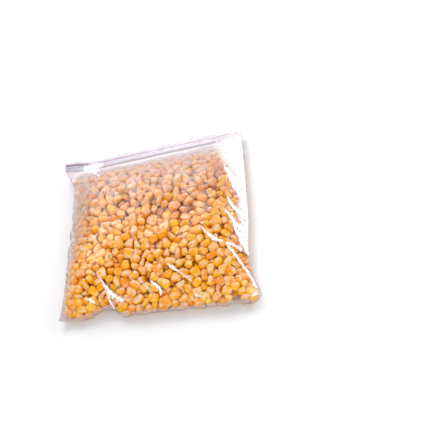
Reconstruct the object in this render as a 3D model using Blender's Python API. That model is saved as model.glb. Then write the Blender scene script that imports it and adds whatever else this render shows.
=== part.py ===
"""Press-to-close freezer bag filled with loose frozen sweetcorn, lying on its back ply.

Units are metres, +Z up.  +Y runs from the bottom seam to the mouth and +X is to the right for someone
who faces the mouth.  The origin is the middle of the underside, which rests flat on the table.

Four closed bodies, one for each separate piece of the bag: the filled pouch, the two interlocked
strips of the zip, and the lip of film beyond the zip.
"""

import math
from typing import NamedTuple

import bmesh
import bpy
from mathutils import Matrix, Vector

# ---------------------------------------------------------------- small functions of shape


def smoothstep(low, high, value):
    """Ease from 0 at low to 1 at high."""
    t = min(max((value - low) / (high - low), 0.0), 1.0)
    return t * t * (3.0 - 2.0 * t)


class Bump(NamedTuple):
    """A bell of some height at centre, with its own reach on each flank."""

    height: float
    centre: float
    below: float
    above: float

    def at(self, value):
        """Height of the bell at a value."""
        reach = self.below if value < self.centre else self.above
        return self.height * math.exp(-(((value - self.centre) / reach) ** 2))


class Jut(NamedTuple):
    """A corner that stands out by some height below start and fades to nothing at end."""

    height: float
    start: float
    end: float

    def at(self, value):
        """Height of the corner at a value."""
        return self.height * (1.0 - smoothstep(self.start, self.end, value))


# ---------------------------------------------------------------- driving dimensions

BAG_WIDTH = 0.178  # flat width between the side folds
POUCH_LENGTH = 0.1792  # bottom seam to zip, along the middle
FILL_HEIGHT = 0.0280  # crown of the filled part above the table
SEAM_THICKNESS = 0.0010  # the two plies where they meet, drawn thick enough to be a solid
PIECE_GAP = 0.0003  # clearance between neighbouring pieces

# The corn lies thicker on the left, which shortens that side and swings both ends.
BOTTOM_SWING = 0.0050  # rise of the bottom seam at the left corner, fall at the right one
ZIP_SWING = 0.0060  # fall of the zip at its left end, rise at its right end
RIGHT_CORNER_CUT = 0.0035  # how far the right bottom corner is rounded off
RIGHT_CORNER_START = 0.90  # where that rounding starts, as a fraction of the half width

# The fill draws the sides in, and the bottom corners jut out.  Places are heights above the bottom seam.
LEFT_WAIST = Bump(0.0103, 0.149, 0.102, 0.019)
LEFT_CORNER = Jut(0.0020, 0.007, 0.027)
RIGHT_PINCH = Bump(0.0045, 0.035, 0.024, 0.035)
RIGHT_SLACK = Bump(0.0032, 0.062, 0.050, 0.110)
RIGHT_CORNER = Jut(0.0012, 0.004, 0.020)

# The bottom seam is drawn up at a pleat near its left corner; its place is a fraction of the half width.
PLEAT = Bump(0.0085, -0.46, 0.22, 0.055)
PLEAT_FADE = 6  # how fast the pleat fades towards the zip

# Flat film left free along each edge, and how far in from it the film reaches full height.
LEFT_MARGIN, LEFT_SHOULDER = 0.0015, 0.036
LEFT_SLACK = Bump(0.0050, 0.095, 0.045, 0.120)  # more free film halfway up the left side
LEFT_PACKED = Jut(0.016, 0.020, 0.075)  # corn fills the left corner, so the film stands up sooner there
RIGHT_MARGIN, RIGHT_SHOULDER = 0.0035, 0.032
BOTTOM_MARGIN, BOTTOM_SHOULDER = 0.0010, 0.072
ZIP_MARGIN, ZIP_SHOULDER = 0.0070, 0.060
BASE_SHOULDER = 0.014  # how far in from the margins the underside meets the table
SHOULDER_STEEPNESS = 2.4  # how much steeper a shoulder starts than a straight ramp
SHOULDER_ROUNDING = 0.80  # below 1 the film leaves the margin at a steep angle
BOTTOM_ROUNDING = 0.62  # the corn lies against the bottom seam, so the film stands up at once there

# Height of the edges above the table
CORNER_HEIGHT = 0.0008
BOTTOM_SEAM_HEIGHT = 0.0022
SIDE_SEAM_HEIGHT = 0.0080
ZIP_HEIGHT = 0.0095
CORNER_START = 0.70  # where the bottom seam starts to come down to its corners
SIDE_RISE = (0.02, 0.45)  # stretch of the length over which the side seams rise from the bottom seam
ZIP_APPROACH = (0.55, 1.0)  # stretch over which they turn into the zip
SEAT_DEPTH = 2.0 * ZIP_HEIGHT  # how far the underside would hang at most, if the table were not there

# Slow swells where the corn has settled unevenly: heights, then waves per metre along x and y and phases
SWELL_HEIGHT, SWELL_X, SWELL_Y, SWELL_PHASE_X, SWELL_PHASE_Y = 0.0011, 92.0, 71.0, 1.1, 0.4
RIPPLE_HEIGHT, RIPPLE_X, RIPPLE_Y, RIPPLE_PHASE = 0.0006, 168.0, -121.0, 2.0

# Zip: two strips side by side, each a flat flange with raised ribs, then the lip of the mouth
FLANGE_THICKNESS = 0.0008
RIB_HEIGHT = 0.0005
RIB_FOOT = 0.22  # where a rib starts to rise, as a share of its pitch
RIB_CREST = 0.32  # where it reaches its height
INNER_STRIP_WIDTH, INNER_STRIP_RIBS = 0.0056, 2
OUTER_STRIP_WIDTH, OUTER_STRIP_RIBS = 0.0031, 1
LIP_WIDTH = 0.0018
LIP_THICKNESS = 0.0006
ZIP_OVERHANG = 0.0012  # how far the stiff zip stands out past the film at each end
ZIP_CLEARANCE = 0.00054  # from the end of the pouch to the first strip, more than PIECE_GAP as they tilt
ZIP_PITCH = math.radians(-5.0)  # the mouth droops behind the pouch
ZIP_DROOP = 0.0010  # how much lower the zip lies at its ends than in the middle
KINK_AT = -0.66  # where the left end of the zip is bent up, as a fraction of the half width
KINK_LENGTH = 0.34  # how far the bend is spread, in the same fractions
KINK_RISE = 0.0030
KINK_STEP = 0.0012
KINK_TWIST = math.radians(14.0)

# Mesh density
CELLS_ACROSS, CELLS_ALONG = 38, 40
EVEN_SHARE = 0.60  # the rest of the grading crowds the cells towards the seams
ZIP_STATIONS = 30
SHARP_ANGLE = math.radians(40.0)


# ---------------------------------------------------------------- plan of the bag
# across runs from -1 at the left side to 1 at the right, along from 0 at the bottom seam to 1 at the zip


def half_width(across, y):
    """Half the width at y, on the left for a negative across and on the right for a positive one."""
    if across < 0.0:
        return BAG_WIDTH / 2 - LEFT_WAIST.at(y) + LEFT_CORNER.at(y)
    return BAG_WIDTH / 2 - RIGHT_PINCH.at(y) - RIGHT_SLACK.at(y) + RIGHT_CORNER.at(y)


def bottom_y(across):
    """The bottom seam, swung a little, with its right corner rounded."""
    rounding = smoothstep(RIGHT_CORNER_START, 1.0, across) ** 2
    return -BOTTOM_SWING * across + RIGHT_CORNER_CUT * rounding


def pleat_y(across, along):
    """How far the pleat draws the seam up: gently on one flank, sharply on the other."""
    return PLEAT.at(across) * (1.0 - along) ** PLEAT_FADE


def kink(across):
    """0 along the straight zip, 1 beyond the bend at its left end."""
    return 1.0 - smoothstep(KINK_AT - KINK_LENGTH, KINK_AT, across)


def zip_y(across):
    """The edge of the pouch that meets the zip: straight, with a small step at the kink."""
    return POUCH_LENGTH + ZIP_SWING * across + KINK_STEP * kink(across)


def plan(across, along):
    """Point of the bag's outline grid, as x and y."""
    y = bottom_y(across) * (1.0 - along) + zip_y(across) * along
    x = across * half_width(across, y)
    return x, y + pleat_y(across, along)


# ---------------------------------------------------------------- heights of the bag


def shoulder(distance, margin, reach, rounding=SHOULDER_ROUNDING):
    """Rise from 0 at the end of a flat margin to 1, steep at first and then level, like filled film."""
    q = min(max((distance - margin) / reach, 0.0), 1.0)
    return (1.0 - (1.0 - q) ** SHOULDER_STEEPNESS) ** rounding


def zip_z(across):
    """Height of the zip: it droops a little to both ends and is bent up at the left one."""
    return ZIP_HEIGHT - ZIP_DROOP * across * across + KINK_RISE * kink(across)


def edge_z(across, along):
    """Height of the flat edge film, and of the two plies' meeting surface carried on inwards."""
    corner = smoothstep(CORNER_START, 1.0, abs(across))
    bottom = BOTTOM_SEAM_HEIGHT + (CORNER_HEIGHT - BOTTOM_SEAM_HEIGHT) * corner
    side = bottom + (SIDE_SEAM_HEIGHT - bottom) * smoothstep(*SIDE_RISE, along)
    return side + (zip_z(across) - side) * smoothstep(*ZIP_APPROACH, along)


def edge_distances(across, along):
    """Distances in from the left, right, bottom and zip edges."""
    width = 2.0 * half_width(across, along * POUCH_LENGTH)
    from_left = (1.0 + across) / 2.0 * width
    return from_left, width - from_left, along * POUCH_LENGTH, (1.0 - along) * POUCH_LENGTH


def left_margin(bottom):
    """Flat film along the left side, at a distance up from the bottom seam."""
    return LEFT_MARGIN + LEFT_SLACK.at(bottom)


def fullness(across, along):
    """0 on the flat edge film, 1 where the film stands at full height over the corn."""
    left, right, bottom, top = edge_distances(across, along)
    return (
        shoulder(left, left_margin(bottom), LEFT_SHOULDER - LEFT_PACKED.at(bottom))
        * shoulder(right, RIGHT_MARGIN, RIGHT_SHOULDER)
        * shoulder(bottom, BOTTOM_MARGIN, BOTTOM_SHOULDER, BOTTOM_ROUNDING)
        * shoulder(top, ZIP_MARGIN, ZIP_SHOULDER)
    )


def seating(across, along):
    """0 on the edge film, 1 where the underside lies on the table."""
    left, right, bottom, top = edge_distances(across, along)
    return (
        shoulder(left, left_margin(bottom), BASE_SHOULDER)
        * shoulder(right, RIGHT_MARGIN, BASE_SHOULDER)
        * shoulder(bottom, BOTTOM_MARGIN, BASE_SHOULDER)
        * shoulder(top, ZIP_MARGIN, BASE_SHOULDER)
    )


def lumps(x, y):
    """Slow swells where the corn has settled unevenly."""
    swell = math.sin(x * SWELL_X + SWELL_PHASE_X) * math.sin(y * SWELL_Y + SWELL_PHASE_Y)
    ripple = math.sin(x * RIPPLE_X + y * RIPPLE_Y + RIPPLE_PHASE)
    return SWELL_HEIGHT * swell + RIPPLE_HEIGHT * ripple


class Crease:
    """A raised fold of film that runs in a shallow arc across the top ply."""

    STEPS = 10

    def __init__(self, start, end, bow, height, spread):
        """Keep the fold's two ends, sideways bow of its middle, height and half width, in metres."""
        first, last = Vector(start), Vector(end)
        run = last - first
        side = Vector((-run.y, run.x)).normalized()
        self.points = [
            first + run * t + side * bow * 4.0 * t * (1.0 - t)
            for t in (i / self.STEPS for i in range(self.STEPS + 1))
        ]
        self.height = height
        self.spread = spread

    def lift(self, x, y):
        """Height the fold adds at x, y: it fades sideways and towards both ends."""
        place = Vector((x, y))
        near = min(range(len(self.points)), key=lambda i: (self.points[i] - place).length)
        distance = (self.points[near] - place).length
        taper = math.sin(math.pi * (near + 0.5) / (self.STEPS + 1))
        return self.height * taper * math.exp(-((distance / self.spread) ** 2))


CREASES = (
    Crease((0.043, 0.076), (0.086, 0.004), 0.007, 0.0016, 0.0045),
    Crease((0.070, 0.136), (0.083, 0.072), 0.004, 0.0012, 0.0045),
    Crease((-0.052, 0.040), (-0.034, 0.010), -0.002, 0.0014, 0.0042),
    Crease((-0.014, 0.034), (0.004, 0.008), 0.002, 0.0010, 0.0042),
    Crease((0.013, 0.036), (0.036, 0.012), 0.000, 0.0008, 0.0042),
)


def top_z(across, along):
    """Height of the top ply."""
    x, y = plan(across, along)
    rise = fullness(across, along)
    edge = edge_z(across, along)
    folds = sum(crease.lift(x, y) for crease in CREASES)
    crown = (FILL_HEIGHT - edge) * rise
    return edge + SEAM_THICKNESS / 2 + crown + (lumps(x, y) + folds) * rise


def underside_z(across, along):
    """Height of the back ply: flat on the table, curving up to the seams."""
    hanging = edge_z(across, along) - SEAM_THICKNESS / 2
    return max(0.0, hanging - SEAT_DEPTH * seating(across, along))


# ---------------------------------------------------------------- building


def clear_scene():
    """Remove every object that is already there."""
    for old in list(bpy.data.objects):
        bpy.data.objects.remove(old, do_unlink=True)


def make_material(name, color, roughness):
    """Principled material of one colour."""
    material = bpy.data.materials.new(name)
    material.use_nodes = True
    shader = material.node_tree.nodes["Principled BSDF"]
    shader.inputs["Base Color"].default_value = (*color, 1.0)
    shader.inputs["Roughness"].default_value = roughness
    shader.inputs["Metallic"].default_value = 0.0
    return material


def add_object(name, bm, material):
    """Turn a finished bmesh into a smooth-shaded object."""
    bmesh.ops.recalc_face_normals(bm, faces=bm.faces)
    mesh = bpy.data.meshes.new(name)
    bm.to_mesh(mesh)
    bm.free()
    mesh.materials.append(material)
    mesh.shade_smooth()
    mesh.set_sharp_from_angle(angle=SHARP_ANGLE)
    piece = bpy.data.objects.new(name, mesh)
    bpy.context.scene.collection.objects.link(piece)
    return piece


def graded(position):
    """Move a grid position from -1 to 1 outwards, so that cells are finer by the seams."""
    return EVEN_SHARE * position + (1.0 - EVEN_SHARE) * math.sin(position * math.pi / 2.0)


def build_pouch(material):
    """Pillow of two plies: a grid for the top ply, extruded down to make the back ply."""
    bm = bmesh.new()
    bmesh.ops.create_grid(bm, x_segments=CELLS_ACROSS, y_segments=CELLS_ALONG, size=1.0)
    back_ply = set(bm.verts)
    grown = bmesh.ops.extrude_face_region(bm, geom=list(bm.faces))["geom"]
    top_ply = {item for item in grown if isinstance(item, bmesh.types.BMVert)}
    back_ply -= top_ply
    for ply, height in ((top_ply, top_z), (back_ply, underside_z)):
        for vert in ply:
            across = graded(vert.co.x)
            along = (graded(vert.co.y) + 1.0) / 2.0
            vert.co = (*plan(across, along), height(across, along))
    return add_object("filled_pouch", bm, material)


def ribbed_profile(start, width, ribs):
    """Section of a zip strip as (forward, up) points: a flange with ribs on both faces."""
    flat = FLANGE_THICKNESS / 2
    pitch = width / ribs
    upper = [(start, flat)]
    for rib in range(ribs):
        base = start + pitch * rib
        crest = flat + RIB_HEIGHT
        upper += [(base + pitch * RIB_FOOT, flat), (base + pitch * RIB_CREST, crest)]
        upper += [(base + pitch * (1.0 - RIB_CREST), crest), (base + pitch * (1.0 - RIB_FOOT), flat)]
    upper.append((start + width, flat))
    lower = [(forward, -up) for forward, up in reversed(upper)]
    return upper + lower


def flat_profile(start, width, thickness):
    """Section of a plain strip as (forward, up) points."""
    half = thickness / 2
    end = start + width
    return [(start, half), (end, half), (end, -half), (start, -half)]


def zip_frame(across):
    """Point on the pouch's end, and the pitch of the zip there."""
    y = zip_y(across)
    x = across * (half_width(across, y) + ZIP_OVERHANG)
    return Vector((x, y, zip_z(across))), ZIP_PITCH + KINK_TWIST * kink(across)


def build_strip(name, profile, material):
    """Carry a section along the zip's line and join each ring of points to the next."""
    bm = bmesh.new()
    rings = []
    for station in range(ZIP_STATIONS + 1):
        base, pitch = zip_frame(2.0 * station / ZIP_STATIONS - 1.0)
        turn = Matrix.Rotation(pitch, 3, "X")
        rings.append([bm.verts.new(base + turn @ Vector((0.0, *point))) for point in profile])
    for near, far in zip(rings, rings[1:]):
        for i, corner in enumerate(near):
            bm.faces.new((corner, near[i - 1], far[i - 1], far[i]))
    bm.faces.new(rings[0])
    bm.faces.new(rings[-1])
    return add_object(name, bm, material)


def centre_on_origin(pieces):
    """Shift every mesh so that the middle of the underside is the origin."""
    corners = [vert.co for piece in pieces for vert in piece.data.vertices]
    low = Vector(min(point[axis] for point in corners) for axis in range(3))
    high = Vector(max(point[axis] for point in corners) for axis in range(3))
    middle = Vector(((low.x + high.x) / 2, (low.y + high.y) / 2, low.z))
    for piece in pieces:
        for vert in piece.data.vertices:
            vert.co -= middle


def main():
    """Build the four pieces and set them on the origin."""
    clear_scene()
    filled_film = make_material("filled_film", (0.90, 0.47, 0.10), 0.30)
    blue_strip = make_material("blue_strip", (0.62, 0.66, 0.76), 0.35)
    mauve_strip = make_material("mauve_strip", (0.52, 0.33, 0.50), 0.35)
    clear_film = make_material("clear_film", (0.78, 0.77, 0.82), 0.25)

    outer_start = ZIP_CLEARANCE + INNER_STRIP_WIDTH + PIECE_GAP
    lip_start = outer_start + OUTER_STRIP_WIDTH + PIECE_GAP
    inner = ribbed_profile(ZIP_CLEARANCE, INNER_STRIP_WIDTH, INNER_STRIP_RIBS)
    outer = ribbed_profile(outer_start, OUTER_STRIP_WIDTH, OUTER_STRIP_RIBS)
    lip = flat_profile(lip_start, LIP_WIDTH, LIP_THICKNESS)
    centre_on_origin(
        [
            build_pouch(filled_film),
            build_strip("zip_strip_inner", inner, blue_strip),
            build_strip("zip_strip_outer", outer, mauve_strip),
            build_strip("mouth_lip", lip, clear_film),
        ]
    )


main()
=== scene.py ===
"""Looks of a press-to-close freezer bag full of loose frozen sweetcorn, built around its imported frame.

The pouch's outer surface is read from the frame.  Loose kernels are packed inside it, a thin clear film is
draped over them, and the zip's strips keep their own shapes under a finer finish.
"""

import logging
import math
from dataclasses import dataclass, field
from enum import Enum

import bmesh
import bpy
import numpy as np
from mathutils import Matrix, Vector
from mathutils.bvhtree import BVHTree


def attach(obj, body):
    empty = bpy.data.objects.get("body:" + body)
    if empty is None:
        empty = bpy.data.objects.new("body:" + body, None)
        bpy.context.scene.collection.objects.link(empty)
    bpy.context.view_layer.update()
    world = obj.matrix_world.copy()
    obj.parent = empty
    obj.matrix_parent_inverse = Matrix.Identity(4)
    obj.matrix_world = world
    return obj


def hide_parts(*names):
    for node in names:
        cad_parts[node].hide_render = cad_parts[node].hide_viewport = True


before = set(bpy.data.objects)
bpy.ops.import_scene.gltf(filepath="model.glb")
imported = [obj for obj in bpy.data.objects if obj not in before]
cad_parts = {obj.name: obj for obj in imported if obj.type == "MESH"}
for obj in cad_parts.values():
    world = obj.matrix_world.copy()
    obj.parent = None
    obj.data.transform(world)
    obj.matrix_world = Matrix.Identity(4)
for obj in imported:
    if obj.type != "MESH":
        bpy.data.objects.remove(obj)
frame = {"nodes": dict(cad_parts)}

log = logging.getLogger("freezer_bag")
MM = 0.001
FAR = 1.0  # in metres, more than any distance on the bag
ROOT = "root"

Color = tuple[float, float, float]


# ---------------------------------------------------------------- small helpers


def smoothstep(low: float, high: float, value: np.ndarray) -> np.ndarray:
    """Ease from 0 at low to 1 at high, for arrays."""
    t = np.clip((value - low) / (high - low), 0.0, 1.0)
    return t * t * (3.0 - 2.0 * t)


def unit(vectors: np.ndarray) -> np.ndarray:
    """Scale vectors on the last axis to length 1."""
    return vectors / np.maximum(np.linalg.norm(vectors, axis=-1, keepdims=True), 1e-12)


def running_mean(values: np.ndarray, reach: int) -> np.ndarray:
    """Smooth values along a line.

    Args:
        values: the values in order.
        reach: how many neighbours on each side count.

    Returns:
        the mean of each value and its neighbours.
    """
    window = 2 * reach + 1
    padded = np.pad(values, reach, mode="edge")
    return np.convolve(padded, np.full(window, 1 / window), mode="valid")


def mesh_arrays(piece: bpy.types.Object) -> tuple[np.ndarray, np.ndarray]:
    """Read a mesh object's points and triangles.

    Args:
        piece: a mesh object whose transform is the identity.

    Returns:
        points as (n, 3) floats and triangles as (m, 3) indices.
    """
    mesh = piece.data
    points = np.zeros(len(mesh.vertices) * 3)
    mesh.vertices.foreach_get("co", points)
    mesh.calc_loop_triangles()
    triangles = np.zeros(len(mesh.loop_triangles) * 3, np.int64)
    mesh.loop_triangles.foreach_get("vertices", triangles)
    return points.reshape(-1, 3), triangles.reshape(-1, 3)


def make_piece(
    name: str,
    points: np.ndarray,
    faces: np.ndarray,
    material: bpy.types.Material,
    attributes: dict[str, np.ndarray] | None = None,
) -> bpy.types.Object:
    """Make a smooth-shaded mesh object from arrays and link it to the scene.

    Args:
        name: the piece's name.
        points: (n, 3) positions in metres.
        faces: (m, 3) or (m, 4) point indices.
        material: the piece's finish.
        attributes: values for each point, by attribute name.

    Returns:
        the new object.
    """
    mesh = bpy.data.meshes.new(name)
    corners = faces.shape[1]
    mesh.vertices.add(len(points))
    mesh.vertices.foreach_set("co", points.astype(np.float32).ravel())
    mesh.loops.add(faces.size)
    mesh.loops.foreach_set("vertex_index", faces.astype(np.int32).ravel())
    mesh.polygons.add(len(faces))
    mesh.polygons.foreach_set("loop_start", np.arange(0, faces.size, corners, dtype=np.int32))
    mesh.update(calc_edges=True)
    mesh.validate()
    mesh.materials.append(material)
    mesh.shade_smooth()
    for key, values in (attributes or {}).items():
        layer = mesh.attributes.new(key, "FLOAT", "POINT")
        layer.data.foreach_set("value", values.astype(np.float32).ravel())
    piece = bpy.data.objects.new(name, mesh)
    bpy.context.scene.collection.objects.link(piece)
    return piece


# ---------------------------------------------------------------- shader helpers


class NodeSheet:
    """Adds and joins nodes in one shader or group tree."""

    def __init__(self, tree: bpy.types.NodeTree) -> None:
        """Start from an empty tree."""
        self.tree = tree
        tree.nodes.clear()

    def add(self, kind: str, settings: dict | None = None, **inputs: object) -> bpy.types.Node:
        """Add a node.

        Args:
            kind: the node type without its ShaderNode prefix.
            settings: properties of the node itself.
            inputs: values or sockets, by input name with spaces written as underscores.

        Returns:
            the new node.
        """
        node = self.tree.nodes.new(f"ShaderNode{kind}")
        for key, value in (settings or {}).items():
            setattr(node, key, value)
        for key, value in inputs.items():
            self.feed(node.inputs[key.replace("_", " ")], value)
        return node

    def feed(self, socket: bpy.types.NodeSocket, value: object) -> None:
        """Join a socket to another, or give it a value.

        Args:
            socket: the input to feed.
            value: an output socket, a number, or three numbers for a colour or a vector.
        """
        if isinstance(value, bpy.types.NodeSocket):
            self.tree.links.new(value, socket)
        elif isinstance(value, tuple) and len(value) == 3 and socket.type == "RGBA":
            socket.default_value = (*value, 1.0)
        else:
            socket.default_value = value

    def attribute(self, name: str) -> bpy.types.NodeSocket:
        """Read one of the mesh's own values."""
        return self.add("Attribute", {"attribute_name": name}).outputs["Fac"]

    def math(self, operation: str, first: object, second: object) -> bpy.types.NodeSocket:
        """Join two values by a Math node.

        Args:
            operation: the node's operation.
            first: value or socket on the left of it.
            second: value or socket on the right of it.

        Returns:
            the result.
        """
        node = self.add("Math", {"operation": operation})
        self.feed(node.inputs[0], first)
        self.feed(node.inputs[1], second)
        return node.outputs[0]

    def rest(self, share: object) -> bpy.types.NodeSocket:
        """Take a share from 1."""
        return self.math("SUBTRACT", 1.0, share)

    def mix_color(self, share: object, first: object, second: object) -> bpy.types.NodeSocket:
        """Blend two colours.

        Args:
            share: how much of the second colour there is, from 0 to 1.
            first: colour or socket at 0.
            second: colour or socket at 1.

        Returns:
            the blended colour.
        """
        node = self.add("Mix", {"data_type": "RGBA", "clamp_factor": True})
        self.feed(node.inputs["Factor"], share)
        self.feed(node.inputs[6], first)
        self.feed(node.inputs[7], second)
        return node.outputs[2]

    def mix_shader(self, share: object, first: object, second: object) -> bpy.types.NodeSocket:
        """Blend two shaders.

        Args:
            share: how much of the second shader there is, from 0 to 1.
            first: shader socket at 0.
            second: shader socket at 1.

        Returns:
            the blended shader.
        """
        node = self.add("MixShader")
        for socket, value in zip(node.inputs, (share, first, second)):
            self.feed(socket, value)
        return node.outputs["Shader"]

    def ramp(self, value: object, low: float, high: float) -> bpy.types.NodeSocket:
        """Map a value to 0..1 with soft ends.

        Args:
            value: value or socket to map.
            low: the value that becomes 0.
            high: the value that becomes 1.

        Returns:
            the mapped value.
        """
        node = self.add("MapRange", {"interpolation_type": "SMOOTHSTEP"})
        self.feed(node.inputs["Value"], value)
        node.inputs["From Min"].default_value = low
        node.inputs["From Max"].default_value = high
        return node.outputs["Result"]


GroupParts = tuple[bpy.types.NodeTree, NodeSheet, bpy.types.Node, bpy.types.Node]


class Groups:
    """Shader node groups that more than one finish uses, each built once."""

    MOTTLE_LOW = 0.35
    MOTTLE_HIGH = 0.65
    TIP_REACH = 0.26
    TIP_PALENESS = 0.60
    # Pale patches on the skin: frost, heavier on upward faces, where it is partly a painted highlight.
    FROST_AND_HIGHLIGHT_ON_TOP = 0.14
    FROST_OF_ITS_OWN = 0.13
    FROST_AND_HIGHLIGHT_START = 0.68
    FROST_AND_HIGHLIGHT_END = 0.755
    FROST_AND_HIGHLIGHT_COVER = 0.92
    # Painted shade on kernels deep in the heap.
    DEPTH_SHADE = 0.85
    SKIN_ROUGHNESS = 0.28
    FROST_ROUGHNESS = 0.30

    @staticmethod
    def _new(name: str, inputs: dict[str, tuple[str, object]], outputs: dict[str, str]) -> GroupParts:
        """Make an empty group with named sockets.

        Args:
            name: the group's name.
            inputs: socket type and first value, by socket name.
            outputs: socket type by socket name.

        Returns:
            the group's tree, a NodeSheet on it, and its input and output nodes.
        """
        tree = bpy.data.node_groups.new(name, "ShaderNodeTree")
        for key, (kind, value) in inputs.items():
            tree.interface.new_socket(name=key, in_out="INPUT", socket_type=kind).default_value = value
        for key, kind in outputs.items():
            tree.interface.new_socket(name=key, in_out="OUTPUT", socket_type=kind)
        sheet = NodeSheet(tree)
        return tree, sheet, tree.nodes.new("NodeGroupInput"), tree.nodes.new("NodeGroupOutput")

    @classmethod
    def mottle(cls) -> bpy.types.NodeTree:
        """Uneven patches with a finer grain inside them, as a mask and as a height.

        Returns:
            the group's tree.
        """
        if "mottle" in bpy.data.node_groups:
            return bpy.data.node_groups["mottle"]
        tree, sheet, source, target = cls._new(
            "mottle",
            {
                "Patch Scale": ("NodeSocketFloat", 60.0),
                "Grain Scale": ("NodeSocketFloat", 400.0),
                "Grain Share": ("NodeSocketFloat", 0.35),
            },
            {"Mask": "NodeSocketFloat", "Height": "NodeSocketFloat"},
        )
        place = sheet.add("TexCoord").outputs["Object"]
        patch = sheet.add("TexNoise", Vector=place, Scale=source.outputs["Patch Scale"], Detail=3.0)
        grain = sheet.add("TexNoise", Vector=place, Scale=source.outputs["Grain Scale"], Detail=2.0)
        mixed = sheet.add("Mix", {"data_type": "FLOAT"})
        sheet.feed(mixed.inputs["Factor"], source.outputs["Grain Share"])
        sheet.feed(mixed.inputs[2], patch.outputs["Fac"])
        sheet.feed(mixed.inputs[3], grain.outputs["Fac"])
        sheet.feed(target.inputs["Mask"], sheet.ramp(mixed.outputs[0], cls.MOTTLE_LOW, cls.MOTTLE_HIGH))
        sheet.feed(target.inputs["Height"], mixed.outputs[0])
        return tree

    @classmethod
    def kernel_tone(cls) -> bpy.types.NodeTree:
        """Colour of a kernel: its own tone, its pale base, its frost, which is heavier on its upward faces
        where it is partly a painted highlight, and painted shade by its depth in the heap.

        Returns:
            the group's tree.
        """
        if "kernel_tone" in bpy.data.node_groups:
            return bpy.data.node_groups["kernel_tone"]
        tree, sheet, source, target = cls._new(
            "kernel_tone",
            {
                "Tone": ("NodeSocketFloat", 0.5),
                "Along": ("NodeSocketFloat", 0.5),
                "Upward": ("NodeSocketFloat", 0.5),
                "Depth": ("NodeSocketFloat", 0.0),
                "Patch": ("NodeSocketFloat", 0.5),
                "Deep": ("NodeSocketColor", (0.8, 0.3, 0.01, 1.0)),
                "Bright": ("NodeSocketColor", (0.95, 0.5, 0.03, 1.0)),
                "Pale": ("NodeSocketColor", (0.95, 0.8, 0.5, 1.0)),
                "Shade": ("NodeSocketColor", (0.3, 0.07, 0.005, 1.0)),
                "Frost": ("NodeSocketFloat", 0.2),
            },
            {"Color": "NodeSocketColor", "Roughness": "NodeSocketFloat"},
        )
        body = sheet.mix_color(source.outputs["Tone"], source.outputs["Deep"], source.outputs["Bright"])
        near_base = sheet.ramp(source.outputs["Along"], cls.TIP_REACH, 0.0)
        tip = sheet.math("MULTIPLY", near_base, cls.TIP_PALENESS)
        tipped = sheet.mix_color(tip, body, source.outputs["Pale"])
        # Paler upward faces: partly frost, partly a painted highlight.
        frost_and_highlight_on_top = sheet.math("MULTIPLY", source.outputs["Upward"], cls.FROST_AND_HIGHLIGHT_ON_TOP)
        level = sheet.math("ADD", source.outputs["Patch"], frost_and_highlight_on_top)
        own = sheet.math("MULTIPLY", source.outputs["Frost"], cls.FROST_OF_ITS_OWN)
        level = sheet.math("ADD", level, own)
        frost_and_highlight = sheet.ramp(level, cls.FROST_AND_HIGHLIGHT_START, cls.FROST_AND_HIGHLIGHT_END)
        cover = sheet.math("MULTIPLY", frost_and_highlight, cls.FROST_AND_HIGHLIGHT_COVER)
        skin = sheet.mix_color(cover, tipped, source.outputs["Pale"])
        # Painted shade deep in the heap.
        painted_shade = sheet.math("MULTIPLY", source.outputs["Depth"], cls.DEPTH_SHADE)
        sheet.feed(target.inputs["Color"], sheet.mix_color(painted_shade, skin, source.outputs["Shade"]))
        rough = sheet.math("MULTIPLY_ADD", frost_and_highlight, cls.FROST_ROUGHNESS)
        rough.node.inputs[2].default_value = cls.SKIN_ROUGHNESS
        sheet.feed(target.inputs["Roughness"], rough)
        return tree


def place_group(sheet: NodeSheet, tree: bpy.types.NodeTree, **inputs: object) -> bpy.types.Node:
    """Place a node group in a material.

    Args:
        sheet: the material's sheet.
        tree: the group's tree.
        inputs: values or sockets, by input name with spaces written as underscores.

    Returns:
        the group's node.
    """
    node = sheet.add("Group")
    node.node_tree = tree
    for key, value in inputs.items():
        sheet.feed(node.inputs[key.replace("_", " ")], value)
    return node


# ---------------------------------------------------------------- finishes


@dataclass(frozen=True)
class Finish:
    """A finish that makes its own material."""

    name: str

    def build(self) -> bpy.types.Material:
        """Make the material.

        Returns:
            the material.
        """
        material = bpy.data.materials.new(self.name)
        material.use_nodes = True
        sheet = NodeSheet(material.node_tree)
        sheet.add("OutputMaterial", Surface=self._surface(sheet))
        return material

    def _surface(self, sheet: NodeSheet) -> bpy.types.NodeSocket:
        """Add the finish's own nodes to an empty sheet and return its shader."""
        raise NotImplementedError


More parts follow.
